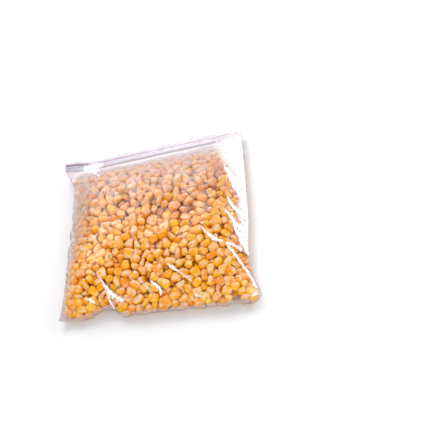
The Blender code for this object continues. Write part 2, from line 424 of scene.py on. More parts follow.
@dataclass(frozen=True)
class KernelFinish(Finish):
    """Waxy skin of one kind of kernel, with frost on some, a painted highlight on its upward faces and
    painted shade deep in the heap.
    """

    deep: Color
    bright: Color
    pale: Color
    # Painted shade colour for kernels deep in the heap.
    shade: Color = (0.60, 0.185, 0.010)
    # Heights of the normal over which upward faces get frost and a painted highlight.
    level_side: float = 0.25
    level_top: float = 0.95
    juiciness: float = 0.25
    glow_reach: float = 3.0 * MM
    glow_color: Color = (1.0, 0.45, 0.10)

    def _surface(self, sheet: NodeSheet) -> bpy.types.NodeSocket:
        """Build the shader.

        Args:
            sheet: the material's sheet.

        Returns:
            the shader's socket.
        """
        mottle = place_group(sheet, Groups.mottle(), Patch_Scale=330.0, Grain_Scale=1100.0, Grain_Share=0.30)
        normal = sheet.add("NewGeometry").outputs["Normal"]
        height = sheet.add("SeparateXYZ", Vector=normal).outputs["Z"]
        tint = place_group(
            sheet,
            Groups.kernel_tone(),
            Tone=sheet.attribute("tone"),
            Along=sheet.attribute("along"),
            # Upward faces: frost and a painted highlight.
            Upward=sheet.ramp(height, self.level_side, self.level_top),
            Depth=sheet.attribute("depth"),
            Patch=mottle.outputs["Height"],
            Deep=self.deep,
            Bright=self.bright,
            Pale=self.pale,
            Shade=self.shade,
            Frost=sheet.attribute("frost"),
        )
        bump = sheet.add("Bump", Strength=0.50, Distance=0.0009, Height=mottle.outputs["Height"])
        skin = sheet.add(
            "BsdfPrincipled",
            Base_Color=tint.outputs["Color"],
            Roughness=tint.outputs["Roughness"],
            Normal=bump.outputs["Normal"],
            Subsurface_Weight=self.juiciness,
            Subsurface_Radius=self.glow_color,
            Subsurface_Scale=self.glow_reach,
            Specular_IOR_Level=0.18,
            Coat_Weight=0.12,
            Coat_Roughness=0.12,
        )
        return skin.outputs["BSDF"]


@dataclass(frozen=True)
class CoreFinish(Finish):
    """Shaded corn deep in the bag, seen only through gaps between the kernels."""

    name: str = "shaded_corn"
    # Both colours are corn darkened with painted shade.
    dark: Color = (0.45, 0.13, 0.008)
    light: Color = (0.70, 0.27, 0.015)

    def _surface(self, sheet: NodeSheet) -> bpy.types.NodeSocket:
        """Build the shader.

        Args:
            sheet: the material's sheet.

        Returns:
            the shader's socket.
        """
        mottle = place_group(sheet, Groups.mottle(), Patch_Scale=160.0, Grain_Scale=600.0, Grain_Share=0.4)
        color = sheet.mix_color(mottle.outputs["Mask"], self.dark, self.light)
        bump = sheet.add("Bump", Strength=0.8, Distance=0.002, Height=mottle.outputs["Height"])
        body = sheet.add("BsdfPrincipled", Base_Color=color, Normal=bump.outputs["Normal"], Roughness=0.6)
        return body.outputs["BSDF"]


@dataclass(frozen=True)
class FilmFinish(Finish):
    """Thin clear film: mostly see-through, milky where frost clings to its inside, and whitened with painted
    glare at its creases and along its right side.

    Milk is the colour of its haze near the bottom seam, darkened with painted shade, and the haze turns
    lighter with painted glare towards the zip.
    """

    name: str = "clear_film"
    tint: Color = (0.985, 0.975, 0.985)
    # Haze colour near the bottom seam, darkened with painted shade.
    milk: Color = (0.47, 0.43, 0.48)
    # Haze colour towards the zip, lightened with painted glare.
    glare_milk: Color = (0.57, 0.495, 0.51)
    bloom_end: float = 60.0 * MM
    # Colour of the painted glare.
    glare_white: Color = (0.93, 0.92, 0.94)
    white_share: float = 0.3
    streak_start: float = 0.18
    streak_end: float = 1.10
    raggedness: float = 1.5
    cloud_gain: float = 2.4
    gloss_roughness: float = 0.10
    gloss_share: float = 0.30

    def _surface(self, sheet: NodeSheet) -> bpy.types.NodeSocket:
        """Build the shader.

        Args:
            sheet: the material's sheet.

        Returns:
            the shader's socket.
        """
        haze = sheet.attribute("haze")
        mottle = place_group(sheet, Groups.mottle(), Patch_Scale=170.0, Grain_Scale=450.0, Grain_Share=0.30)
        torn = place_group(sheet, Groups.mottle(), Patch_Scale=300.0, Grain_Scale=900.0, Grain_Share=0.40)
        ragged = sheet.math("MULTIPLY", sheet.math("SUBTRACT", torn.outputs["Height"], 0.5), self.raggedness)
        # Painted glare at the creases and along the right side, with ragged edges.
        whitened = sheet.math("ADD", sheet.attribute("painted_glare"), ragged)
        painted_glare = sheet.ramp(whitened, self.streak_start, self.streak_end)
        clearness = sheet.rest(haze)
        swing = sheet.math("MULTIPLY", sheet.math("SUBTRACT", mottle.outputs["Mask"], 0.5), self.cloud_gain)
        swing = sheet.math("MULTIPLY", swing, sheet.math("MULTIPLY", clearness, clearness))
        cloud = sheet.math("ADD", 1.0, swing)
        clear_part = sheet.rest(sheet.math("MULTIPLY", haze, cloud))
        clear_part = sheet.math("MULTIPLY", clear_part, sheet.rest(painted_glare))
        veil = sheet.rest(clear_part)
        place = sheet.add("TexCoord").outputs["Object"]
        forward = sheet.add("SeparateXYZ", Vector=place).outputs["Y"]
        # Haze: darker with painted shade near the bottom seam, lighter with painted glare towards the zip.
        milky = sheet.mix_color(sheet.ramp(forward, 0.0, self.bloom_end), self.milk, self.glare_milk)
        color = sheet.mix_color(sheet.ramp(painted_glare, 0.0, self.white_share), milky, self.glare_white)
        bump = sheet.add("Bump", Strength=0.12, Distance=0.0005, Height=mottle.outputs["Height"])
        clear = sheet.add("BsdfTransparent", Color=self.tint)
        milk = sheet.add("BsdfPrincipled", Base_Color=color, Normal=bump.outputs["Normal"], Roughness=0.35)
        body = sheet.mix_shader(veil, clear.outputs["BSDF"], milk.outputs["BSDF"])
        gloss = sheet.add("BsdfAnisotropic", Roughness=self.gloss_roughness, Normal=bump.outputs["Normal"])
        facing = sheet.add("Fresnel", IOR=1.50, Normal=bump.outputs["Normal"]).outputs["Fac"]
        shine = sheet.math("MULTIPLY", facing, self.gloss_share)
        return sheet.mix_shader(shine, body, gloss.outputs["BSDF"])


@dataclass(frozen=True)
class StripFinish(Finish):
    """Translucent extruded plastic of a zip strip, paler towards its right end with painted glare, with faint
    lines along it.
    """

    color: Color
    light: Color
    # Colour of the right end, washed out with painted glare.
    glare_washed: Color
    glare_start: float = -105.0 * MM
    glare_end: float = 75.0 * MM
    stretch: tuple[float, float, float] = (14.0, 900.0, 900.0)
    patchiness: float = 0.6

    def _surface(self, sheet: NodeSheet) -> bpy.types.NodeSocket:
        """Build the shader.

        Args:
            sheet: the material's sheet.

        Returns:
            the shader's socket.
        """
        place = sheet.add("TexCoord").outputs["Object"]
        stretched = sheet.add("Mapping", Vector=place, Scale=self.stretch).outputs["Vector"]
        lines = sheet.add("TexNoise", Vector=stretched, Scale=1.0, Detail=2.0).outputs["Fac"]
        mottle = place_group(sheet, Groups.mottle(), Patch_Scale=70.0, Grain_Scale=500.0, Grain_Share=0.3)
        shade = sheet.math("MULTIPLY", mottle.outputs["Mask"], self.patchiness)
        dyed = sheet.mix_color(shade, self.color, self.light)
        along = sheet.add("SeparateXYZ", Vector=place).outputs["X"]
        # Paler towards the right end: painted glare.
        color = sheet.mix_color(sheet.ramp(along, self.glare_start, self.glare_end), dyed, self.glare_washed)
        bump = sheet.add("Bump", Strength=0.35, Distance=0.0003, Height=lines)
        body = sheet.add(
            "BsdfPrincipled",
            Base_Color=color,
            Normal=bump.outputs["Normal"],
            Roughness=0.32,
            Specular_IOR_Level=0.32,
            Subsurface_Weight=0.3,
            Subsurface_Radius=(1.0, 1.0, 1.0),
            Subsurface_Scale=2.0 * MM,
        )
        return body.outputs["BSDF"]


@dataclass(frozen=True)
class FloorFinish(Finish):
    """Plain pale paper floor."""

    name: str = "pale_floor"
    color: Color = (0.75, 0.75, 0.75)

    def _surface(self, sheet: NodeSheet) -> bpy.types.NodeSocket:
        """Build the shader.

        Args:
            sheet: the material's sheet.

        Returns:
            the shader's socket.
        """
        body = sheet.add("BsdfPrincipled", Base_Color=self.color, Roughness=0.9)
        return body.outputs["BSDF"]


# ---------------------------------------------------------------- the pouch's outer surface


class Envelope:
    """The frame's outer surface as height fields, outline curves and a distance field.

    The edge rows stop short of the bag's ends by the clear shares, which count in first insets.
    """

    CELL = 2.0 * MM
    PAD_CELLS = 3.0
    PROBE_HEIGHT = 0.2
    BESIDE_HEIGHT = 4.0 * MM
    EDGE_ROW_INSETS = (5.2 * MM, 7.2 * MM, 9.2 * MM, 11.2 * MM)
    EDGE_ROW_RADIUS = 4.2 * MM
    EDGE_ROW_CELLS = 6
    TABLE_GAP = 0.2 * MM
    LEFT_NEARER = 0.8 * MM
    BOTTOM_CLEAR = 2.0
    MOUTH_CLEAR = 4.0
    EAR_CLEAR = 3.2
    RIGHT_CLEAR = 2.0

    def __init__(self, nodes: dict[str, bpy.types.Object]) -> None:
        """Read the frame's nodes.

        Args:
            nodes: the frame's objects by node name.
        """
        self.points, self.triangles = mesh_arrays(nodes["filled_pouch"])
        self.pouch_tree = BVHTree.FromPolygons(self.points.tolist(), self.triangles.tolist())
        parts = [mesh_arrays(node) for node in nodes.values()]
        offsets = np.cumsum([0] + [len(points) for points, _ in parts[:-1]])
        every_point = np.concatenate([points for points, _ in parts])
        every_triangle = np.concatenate([tris + step for (_, tris), step in zip(parts, offsets)])
        self.whole_tree = BVHTree.FromPolygons(every_point.tolist(), every_triangle.tolist())
        self.lip_points = mesh_arrays(nodes["mouth_lip"])[0]
        self.low, self.high = self.points.min(0), self.points.max(0)

    def slice_reach(self, axis: int, value: np.ndarray) -> tuple[np.ndarray, np.ndarray]:
        """Lowest and highest place of the pouch's plan on lines where one axis is fixed.

        Args:
            axis: 0 for lines of fixed x, 1 for lines of fixed y.
            value: the fixed values.

        Returns:
            the lowest and the highest coordinate on the other plan axis, for each value.
        """
        ends = np.concatenate([self.triangles[:, pair] for pair in ([0, 1], [1, 2], [2, 0])])
        first, last = self.points[ends[:, 0]], self.points[ends[:, 1]]
        lows, highs = [], []
        for place in np.atleast_1d(value):
            start, end = first[:, axis] - place, last[:, axis] - place
            crossing = (start * end <= 0.0) & (start != end)
            share = start[crossing] / (start[crossing] - end[crossing])
            other = 1 - axis
            met = first[crossing, other] + share * (last[crossing, other] - first[crossing, other])
            lows.append(met.min())
            highs.append(met.max())
        return np.array(lows), np.array(highs)

    def heights(self, x: np.ndarray, y: np.ndarray, whole: bool = False) -> tuple[np.ndarray, np.ndarray]:
        """Top and underside heights below and above plan points.

        Args:
            x: plan x of points on or near the bag.
            y: plan y of the points, in the same shape.
            whole: read every node and not only the pouch.

        Returns:
            the top and the underside heights, in the same shape.  Beside the bag both are the nearest
            surface's height.
        """
        tree = self.whole_tree if whole else self.pouch_tree
        top, under = np.zeros(x.shape), np.zeros(x.shape)
        down, up = Vector((0.0, 0.0, -1.0)), Vector((0.0, 0.0, 1.0))
        for spot in np.ndindex(x.shape):
            hit = tree.ray_cast(Vector((x[spot], y[spot], self.PROBE_HEIGHT)), down)[0]
            if hit is None:
                hit = tree.find_nearest(Vector((x[spot], y[spot], self.BESIDE_HEIGHT)))[0]
                top[spot] = under[spot] = hit.z
                continue
            top[spot] = hit.z
            below = tree.ray_cast(Vector((x[spot], y[spot], -self.PROBE_HEIGHT)), up)[0]
            under[spot] = hit.z if below is None else below.z
        return top, under

    def edge_path(self) -> np.ndarray:
        """Places along rows next to the seams, clear of the corners and the ear, where kernels may lie right
        against the film.

        Returns:
            (n, 3) places along the rows.
        """
        first = self.EDGE_ROW_INSETS[0]
        lowest, highest = self.low[1] + self.BOTTOM_CLEAR * first, self.high[1] - self.MOUTH_CLEAR * first
        rows = np.arange(lowest, highest, self.CELL)
        left, right = self.slice_reach(1, rows)
        leftmost, rightmost = self.low[0] + self.EAR_CLEAR * first, self.high[0] - self.RIGHT_CLEAR * first
        columns = np.arange(leftmost, rightmost, self.CELL)
        bottom = self.slice_reach(0, columns)[0]
        lines = []
        for inset in self.EDGE_ROW_INSETS:
            lines.append(np.column_stack([left + inset - self.LEFT_NEARER, rows]))
            lines.append(np.column_stack([right - inset, rows]))
            lines.append(np.column_stack([columns, bottom + inset]))
        plan = np.concatenate(lines)
        top, under = self.heights(*plan.T)
        level = np.maximum((top + under) / 2, self.EDGE_ROW_RADIUS + self.TABLE_GAP)
        return np.column_stack([plan, level])

    def build_distance_field(self) -> None:
        """Sample the signed distance to the pouch's surface, negative inside it and in the edge rows."""
        pad = self.PAD_CELLS * self.CELL
        self.field_low = self.low - pad
        counts = np.ceil((self.high + pad - self.field_low) / self.CELL).astype(int) + 1
        axes = [self.field_low[i] + np.arange(counts[i]) * self.CELL for i in range(3)]
        plan_x, plan_y = np.meshgrid(axes[0], axes[1], indexing="ij")
        top, under = self.heights(plan_x, plan_y)
        field_values = np.zeros(tuple(counts))
        nearest = self.pouch_tree.find_nearest
        for i, x in enumerate(axes[0]):
            for j, y in enumerate(axes[1]):
                for k, z in enumerate(axes[2]):
                    distance = nearest(Vector((x, y, z)))[3]
                    inside = under[i, j] < z < top[i, j]
                    field_values[i, j, k] = -distance if inside else distance
        grid = np.stack(np.meshgrid(*axes, indexing="ij"), axis=-1)
        reach = self.EDGE_ROW_CELLS
        for place in self.edge_path():
            cell = np.round((place - self.field_low) / self.CELL).astype(int)
            near = tuple(slice(max(0, spot - reach), spot + reach + 1) for spot in cell)
            from_row = np.linalg.norm(grid[near] - place, axis=-1) - self.EDGE_ROW_RADIUS
            field_values[near] = np.minimum(field_values[near], from_row)
        self.distance = field_values
        self.slope = np.stack(np.gradient(field_values, self.CELL), axis=-1)

    def sample(self, points: np.ndarray) -> tuple[np.ndarray, np.ndarray]:
        """Read the distance field between its grid's points.

        Args:
            points: (n, 3) places.

        Returns:
            the signed distance and the outward direction at each place.
        """
        cells = np.array(self.distance.shape) - 2
        place = (points - self.field_low) / self.CELL
        low = np.clip(np.floor(place).astype(int), 0, cells)
        share = np.clip(place - low, 0.0, 1.0)
        value = np.zeros(len(points))
        slope = np.zeros((len(points), 3))
        for corner in np.ndindex(2, 2, 2):
            weight = np.prod(np.where(corner, share, 1.0 - share), axis=1)
            index = tuple((low + corner).T)
            value += weight * self.distance[index]
            slope += weight[:, None] * self.slope[index]
        return value, unit(slope)


# ---------------------------------------------------------------- corn


class KernelForm(Enum):
    """The kinds of kernel in the bag."""

    PLUMP = "kernels_plump"
    BROAD = "kernels_broad"
    SLIM = "kernels_slim"
    DENTED = "kernels_dented"


@dataclass(frozen=True)
class KernelShape:
    """Shape of one kind of kernel: a tooth with a rounded crown that tapers to its cut, hollow base."""

    SEGMENTS = 18
    SQUARING = (-0.9, 0.4)
    TAPERING = (-0.9, 0.5)
    BASE_TAPER = 0.20
    DIMPLE_SPREAD = 0.18
    PROFILE = (
        (-0.84, 0.00),
        (-0.93, 0.30),
        (-1.00, 0.50),
        (-0.88, 0.62),
        (-0.52, 0.75),
        (-0.08, 0.90),
        (0.32, 1.00),
        (0.64, 0.97),
        (0.86, 0.80),
        (0.97, 0.46),
        (1.00, 0.00),
    )

    form: KernelForm
    share: float
    width: float
    depth: float
    length: float
    squareness: float
    dimple: float
    finish: KernelFinish

    def points(self) -> tuple[np.ndarray, np.ndarray]:
        """Points of a kernel that stands on its base, crown at +Z.

        Returns:
            (n, 3) points in metres, and how far each lies from base (0) to crown (1).
        """
        level, girth = np.array(self.PROFILE[1:-1]).T
        level, girth = np.repeat(level, self.SEGMENTS), np.repeat(girth, self.SEGMENTS)
        angle = np.tile(np.arange(self.SEGMENTS) * 2.0 * math.pi / self.SEGMENTS, len(self.PROFILE) - 2)
        power = 2.0 + (self.squareness - 2.0) * smoothstep(*self.SQUARING, level)
        corner = (np.abs(np.cos(angle)) ** power + np.abs(np.sin(angle)) ** power) ** (-1.0 / power)
        x = np.cos(angle) * corner * girth
        taper = 1.0 - self.BASE_TAPER + self.BASE_TAPER * smoothstep(*self.TAPERING, level)
        y = np.sin(angle) * corner * girth * taper
        x, y = np.concatenate([[0.0], x, [0.0]]), np.concatenate([[0.0], y, [0.0]])
        z = np.concatenate([[self.PROFILE[0][0]], level, [self.PROFILE[-1][0]]])
        dent = self.dimple * np.exp(-(x * x + y * y) / self.DIMPLE_SPREAD) * (z > 0.0)
        along = (z + 1.0) / 2.0
        return np.column_stack([x * self.width / 2, y * self.depth / 2, (z - dent) * self.length / 2]), along

    @classmethod
    def faces(cls) -> np.ndarray:
        """Join a kernel's points into a skin.

        Returns:
            (n, 3) point numbers of the triangles, facing out.
        """
        rings = len(cls.PROFILE) - 2
        here = np.arange(cls.SEGMENTS)
        after = (here + 1) % cls.SEGMENTS
        base = np.column_stack([np.zeros_like(here), 1 + after, 1 + here])
        tip = 1 + rings * cls.SEGMENTS
        last_ring = tip - cls.SEGMENTS
        crown = np.column_stack([np.full_like(here, tip), last_ring + here, last_ring + after])
        sides = []
        for ring in range(rings - 1):
            low, high = 1 + ring * cls.SEGMENTS, 1 + (ring + 1) * cls.SEGMENTS
            sides.append(np.column_stack([low + here, low + after, high + after]))
            sides.append(np.column_stack([low + here, high + after, high + here]))
        return np.concatenate([base, *sides, crown])


YELLOW = KernelFinish("corn_yellow", (0.88, 0.345, 0.001), (0.95, 0.475, 0.002), (0.91, 0.62, 0.37))
AMBER = KernelFinish("corn_amber", (0.85, 0.285, 0.001), (0.92, 0.39, 0.001), (0.88, 0.56, 0.32))
CREAM = KernelFinish("corn_cream", (0.90, 0.43, 0.006), (0.93, 0.53, 0.030), (0.92, 0.67, 0.47))
GOLD = KernelFinish("corn_gold", (0.92, 0.39, 0.001), (0.96, 0.52, 0.003), (0.91, 0.64, 0.39))

KERNELS = (
    KernelShape(KernelForm.PLUMP, 0.34, 8.7 * MM, 7.0 * MM, 9.2 * MM, 2.6, 0.10, YELLOW),
    KernelShape(KernelForm.BROAD, 0.28, 9.5 * MM, 6.4 * MM, 9.4 * MM, 3.3, 0.22, AMBER),
    KernelShape(KernelForm.SLIM, 0.20, 7.8 * MM, 6.4 * MM, 10.3 * MM, 2.9, 0.08, GOLD),
    KernelShape(KernelForm.DENTED, 0.18, 9.0 * MM, 6.2 * MM, 8.9 * MM, 3.2, 0.40, CREAM),
)


def near_pairs(points: np.ndarray, reach: float) -> tuple[np.ndarray, np.ndarray]:
    """List every pair of points whose cells of a grid touch.

    Args:
        points: (n, 3) positions.
        reach: the grid's cell size, so no pair closer than this is missed.

    Returns:
        indices of the first and of the second point of each pair.
    """
    cell = np.floor(points / reach).astype(np.int64)
    cell -= cell.min(0) - 1
    span = cell.max(0) + 2
    strides = np.array([span[1] * span[2], span[2], 1])
    key = cell @ strides
    order = np.argsort(key, kind="stable")
    sorted_key = key[order]
    firsts, seconds = [], []
    steps = [step for step in np.ndindex(3, 3, 3) if step >= (1, 1, 1)]
    for step in steps:
        wanted = key + (np.array(step) - 1) @ strides
        start = np.searchsorted(sorted_key, wanted, "left")
        count = np.searchsorted(sorted_key, wanted, "right") - start
        first = np.repeat(np.arange(len(points)), count)
        inside = np.arange(count.sum()) - np.repeat(np.cumsum(count) - count, count)
        second = order[np.repeat(start, count) + inside]
        kept = first < second if step == (1, 1, 1) else np.ones(len(first), bool)
        firsts.append(first[kept])
        seconds.append(second[kept])
    return np.concatenate(firsts), np.concatenate(seconds)


@dataclass
class KernelPacking:
    """Packs kernels into the pouch, each as three balls held rigidly together.

    The first group of fields steers the packing and the second how the outer kernels are spread to the seams.
    """

    envelope: Envelope
    seed: int = 11
    count: int = 1500
    rounds: int = 240
    pair_rounds: int = 4
    pair_margin: float = 1.0 * MM
    start_depth: float = 3.0 * MM
    start_size: float = 0.55
    growth: float = 0.45
    growth_end: float = 0.62
    size_spread: float = 0.09
    size_range: tuple[float, float] = (0.78, 1.18)
    clearance: float = 0.15 * MM
    ease: float = 1.5
    spread: float = 0.030 * MM
    spread_reach: tuple[float, float] = (0.090, 0.100)
    sinking: float = 0.01 * MM

    kernel_reach: float = 4.1 * MM
    seam_gap: float = 0.7 * MM
    most_spread: float = 6.0 * MM
    spread_band: float = 34.0 * MM
    mouth_clear: float = 12.0 * MM
    corner_clear: float = 5.0 * MM
    line_step: float = 2.0 * MM
    line_reach: float = 6.0 * MM
    smoothing: int = 3

    balls: tuple = ((-1.20 * MM, 0.0, 1.40 * MM), (1.20 * MM, 0.0, 1.40 * MM), (0.0, 0.0, -2.20 * MM))
    radii: tuple = (3.35 * MM, 3.35 * MM, 2.80 * MM)
    centres: np.ndarray = field(init=False)
    turns: np.ndarray = field(init=False)
    scales: np.ndarray = field(init=False)

    def _start(self, rng: np.random.Generator) -> np.ndarray:
        """Scatter the kernels' centres inside the pouch.

        Args:
            rng: the source of random numbers.

        Returns:
            (count, 3) centres.
        """
        low, high = self.envelope.low, self.envelope.high
        found = np.zeros((0, 3))
        while len(found) < self.count:
            tries = rng.uniform(low, high, (self.count * 3, 3))
            depth = self.envelope.sample(tries)[0]
            found = np.concatenate([found, tries[depth < -self.start_depth]])
        return found[: self.count]

    def settle(self) -> None:
        """Grow the kernels from small to full size while they push each other and the film apart."""
        rng = np.random.default_rng(self.seed)
        centres = self._start(rng)
        self.scales = rng.normal(1.0, self.size_spread, self.count).clip(*self.size_range)
        turns = np.linalg.qr(rng.normal(size=(self.count, 3, 3)))[0]
        turns[:, :, 0] *= np.sign(np.linalg.det(turns))[:, None]
        template = np.array(self.balls)
        template = template - template.mean(0)
        offsets = template[None] * self.scales[:, None, None]
        full = (np.array(self.radii)[None] * self.scales[:, None]).ravel()
        reach = 2.0 * full.max() + self.pair_margin
        for number in range(self.rounds):
            grown = float(smoothstep(0.0, self.growth_end, np.array(number / self.rounds)))
            grown = grown * self.growth + self.start_size
            places = centres[:, None] + np.einsum("nij,nkj->nki", turns, offsets * grown)
            flat = places.reshape(-1, 3)
            radius = full * grown
            if number % self.pair_rounds == 0:
                first, second = self._pairs(flat, reach)
            moved = self._push(flat, radius, first, second)
            outward = flat[:, :2] / np.array(self.spread_reach)
            moved[:, :2] += self.spread * outward
            moved[:, 2] -= self.sinking
            centres, turns = self._match(moved.reshape(places.shape), offsets * grown)
        self.centres, self.turns = centres, turns
        overlap = self.overlap(flat, full) / MM
        log.info("packed %d kernels, 95 in 100 overlaps are below %.2f mm", self.count, overlap)
        self._reach_seams()

    def _reach_seams(self) -> None:
        """Spread the outer kernels until they meet the seams, and move in any that stand past them."""
        low, high = self.envelope.low, self.envelope.high
        girth = self.kernel_reach * self.scales
        sides = (0, (0, 1), low[1], high[1] - self.mouth_clear)
        bottom = (1, (0,), low[0], high[0])
        for axis, ends, first, last in (sides, bottom):
            other = 1 - axis
            lines = np.arange(first + self.corner_clear, last - self.corner_clear, self.line_step)
            reaches = self.envelope.slice_reach(other, lines)
            for end in ends:
                side = 1.0 if end else -1.0
                edge = np.interp(self.centres[:, other], lines, reaches[end])
                gap = side * (edge - self.centres[:, axis]) - girth
                near = np.abs(self.centres[None, :, other] - lines[:, None]) < self.line_reach
                nearest = running_mean(np.where(near, gap[None], FAR).min(1), self.smoothing)
                spare = np.maximum(np.interp(self.centres[:, other], lines, nearest) - self.seam_gap, 0.0)
                spare = np.minimum(spare, self.most_spread)
                moved = spare * np.clip(1.0 - gap / self.spread_band, 0.0, 1.0)
                past = np.maximum(self.seam_gap - (gap - moved), 0.0)
                self.centres[:, axis] += side * (moved - past)

    def _pairs(self, flat: np.ndarray, reach: float) -> tuple[np.ndarray, np.ndarray]:
        """List near pairs of balls of different kernels.

        Args:
            flat: (n, 3) ball centres.
            reach: no pair closer than this is missed.

        Returns:
            the first and the second ball of each pair.
        """
        first, second = near_pairs(flat, reach)
        apart = first // len(self.balls) != second // len(self.balls)
        return first[apart], second[apart]

    def _push(
        self,
        flat: np.ndarray,
        radius: np.ndarray,
        first: np.ndarray,
        second: np.ndarray,
    ) -> np.ndarray:
        """Move balls out of each other and off the film.

        Args:
            flat: (n, 3) ball centres.
            radius: the balls' radii.
            first: first ball of each near pair.
            second: second ball of each near pair.

        Returns:
            the moved centres.
        """
        gap = flat[second] - flat[first]
        distance = np.linalg.norm(gap, axis=1)
        short = radius[first] + radius[second] - distance
        hit = short > 0.0
        first, second, short = first[hit], second[hit], short[hit]
        push = gap[hit] / np.maximum(distance[hit], 1e-9)[:, None] * (0.5 * short)[:, None]
        total = np.zeros_like(flat)
        for axis in range(3):
            total[:, axis] += np.bincount(second, push[:, axis], len(flat))
            total[:, axis] -= np.bincount(first, push[:, axis], len(flat))
        touching = np.bincount(first, minlength=len(flat)) + np.bincount(second, minlength=len(flat))
        moved = flat + total * (self.ease / np.maximum(touching, self.ease))[:, None]
        depth, outward = self.envelope.sample(moved)
        over = np.maximum(depth + radius + self.clearance, 0.0)
        return moved - outward * over[:, None]

    def _match(self, places: np.ndarray, offsets: np.ndarray) -> tuple[np.ndarray, np.ndarray]:
        """Find each kernel's rigid place and turn that fit its moved balls best.

        Args:
            places: (kernels, balls, 3) moved ball centres.
            offsets: (kernels, balls, 3) balls of each kernel before its turn.

        Returns:
            the kernels' centres and their turns as 3 by 3 matrices.
        """
        centres = places.mean(1)
        spread = np.einsum("nki,nkj->nij", places - centres[:, None], offsets)
        left, _, right = np.linalg.svd(spread)
        flip = np.sign(np.linalg.det(left @ right))
        left[:, :, 2] *= flip[:, None]
        return centres, left @ right

    def overlap(self, flat: np.ndarray, radius: np.ndarray) -> float:
        """Measure how well the kernels fit.

        Args:
            flat: (n, 3) ball centres.
            radius: the balls' radii.

        Returns:
            what 95 in 100 of the overlaps between balls of different kernels are below.
        """
        first, second = self._pairs(flat, 2.0 * radius.max())
        short = radius[first] + radius[second] - np.linalg.norm(flat[second] - flat[first], axis=1)
        return float(np.percentile(short[short > 0.0], 95.0))


@dataclass
class CornFill:
    """The loose kernels, one joined mesh for each kind."""

    packing: KernelPacking
    seed: int = 23
    visible_depth: float = 16.0 * MM
    stretch_spread: float = 0.06
    stretch_range: tuple[float, float] = (0.85, 1.14)
    lean_spread: float = 0.09
    waves: tuple[tuple[float, float], ...] = ((330.0, 0.055), (620.0, 0.035))
    seam_gap: float = 0.3 * MM
    outline_margin: float = 0.1 * MM
    outline_step: float = 1.0 * MM
    # Depths in the heap over which painted shade comes in.
    shade_start: float = 2.5 * MM
    shade_end: float = 8.5 * MM
    tone_mix: tuple[float, float] = (1.6, 1.4)
    frost_mix: tuple[float, float] = (1.0, 0.8)
    places: dict[KernelForm, np.ndarray] = field(default_factory=dict)

    def shape_all(self) -> None:
        """Work out the points of every kernel that can be seen, each a little different."""
        rng = np.random.default_rng(self.seed)
        depth = -self.packing.envelope.sample(self.packing.centres)[0]
        shown = np.flatnonzero(depth < self.visible_depth)
        kind = rng.choice(len(KERNELS), len(shown), p=[shape.share for shape in KERNELS])
        for number, shape in enumerate(KERNELS):
            chosen = shown[kind == number]
            count = len(chosen)
            bodies = np.repeat(shape.points()[0][None], count, axis=0)
            bodies *= rng.normal(1.0, self.stretch_spread, (count, 1, 3)).clip(*self.stretch_range)
            bodies[:, :, :2] += bodies[:, :, 2:] * rng.normal(0.0, self.lean_spread, (count, 1, 2))
            for pitch, amount in self.waves:
                waves = rng.normal(0.0, pitch, (count, 1, 3))
                swell = np.sin((bodies * waves).sum(2) + rng.uniform(0.0, 2.0 * math.pi, (count, 1)))
                bodies *= 1.0 + amount * swell[:, :, None]
            bodies *= self.packing.scales[chosen, None, None]
            turned = np.einsum("nij,nkj->nki", self.packing.turns[chosen], bodies)
            self.places[shape.form] = self._keep_inside(turned + self.packing.centres[chosen, None])

    def _keep_inside(self, points: np.ndarray) -> np.ndarray:
        """Move each kernel in from the seams, and up off the table, by as much as it stands past them.

        Args:
            points: (kernels, points of each, 3) positions.

        Returns:
            the moved points.
        """
        envelope = self.packing.envelope
        low, high = envelope.low + self.outline_margin, envelope.high - self.outline_margin
        for axis, end in ((0, 0), (0, 1), (1, 0)):
            other = 1 - axis
            lines = np.arange(low[other], high[other], self.outline_step)
            reach = envelope.slice_reach(other, lines)[end]
            edge = np.interp(points[..., other], lines, reach)
            side = 1.0 if end else -1.0
            past = (side * (points[..., axis] - edge)).max(1) + self.seam_gap
            points[..., axis] -= side * np.maximum(past, 0.0)[:, None]
        points[..., 2] += np.maximum(self.seam_gap - points[..., 2].min(1), 0.0)[:, None]
        return points

    def all_points(self) -> np.ndarray:
        """Every kernel point as (n, 3)."""
        return np.concatenate([points.reshape(-1, 3) for points in self.places.values()])

    def build(self) -> list[bpy.types.Object]:
        """Make the joined mesh of each kind.

        Returns:
            the pieces, one for each kind.
        """
        rng = np.random.default_rng(self.seed + 1)
        faces = KernelShape.faces()
        envelope = self.packing.envelope
        pieces = []
        for shape in KERNELS:
            points = self.places[shape.form]
            count, corners = points.shape[:2]
            joined = (faces[None] + np.arange(count)[:, None, None] * corners).reshape(-1, 3)
            depth = -envelope.sample(points.reshape(-1, 3))[0]
            attributes = {
                "tone": np.repeat(rng.beta(*self.tone_mix, count), corners),
                "frost": np.repeat(rng.beta(*self.frost_mix, count), corners),
                "along": np.tile(shape.points()[1], count),
                # Painted shade share, by depth in the heap.
                "depth": smoothstep(self.shade_start, self.shade_end, depth),
            }
            finish = shape.finish.build()
            pieces.append(make_piece(shape.form.value, points.reshape(-1, 3), joined, finish, attributes))
        return pieces


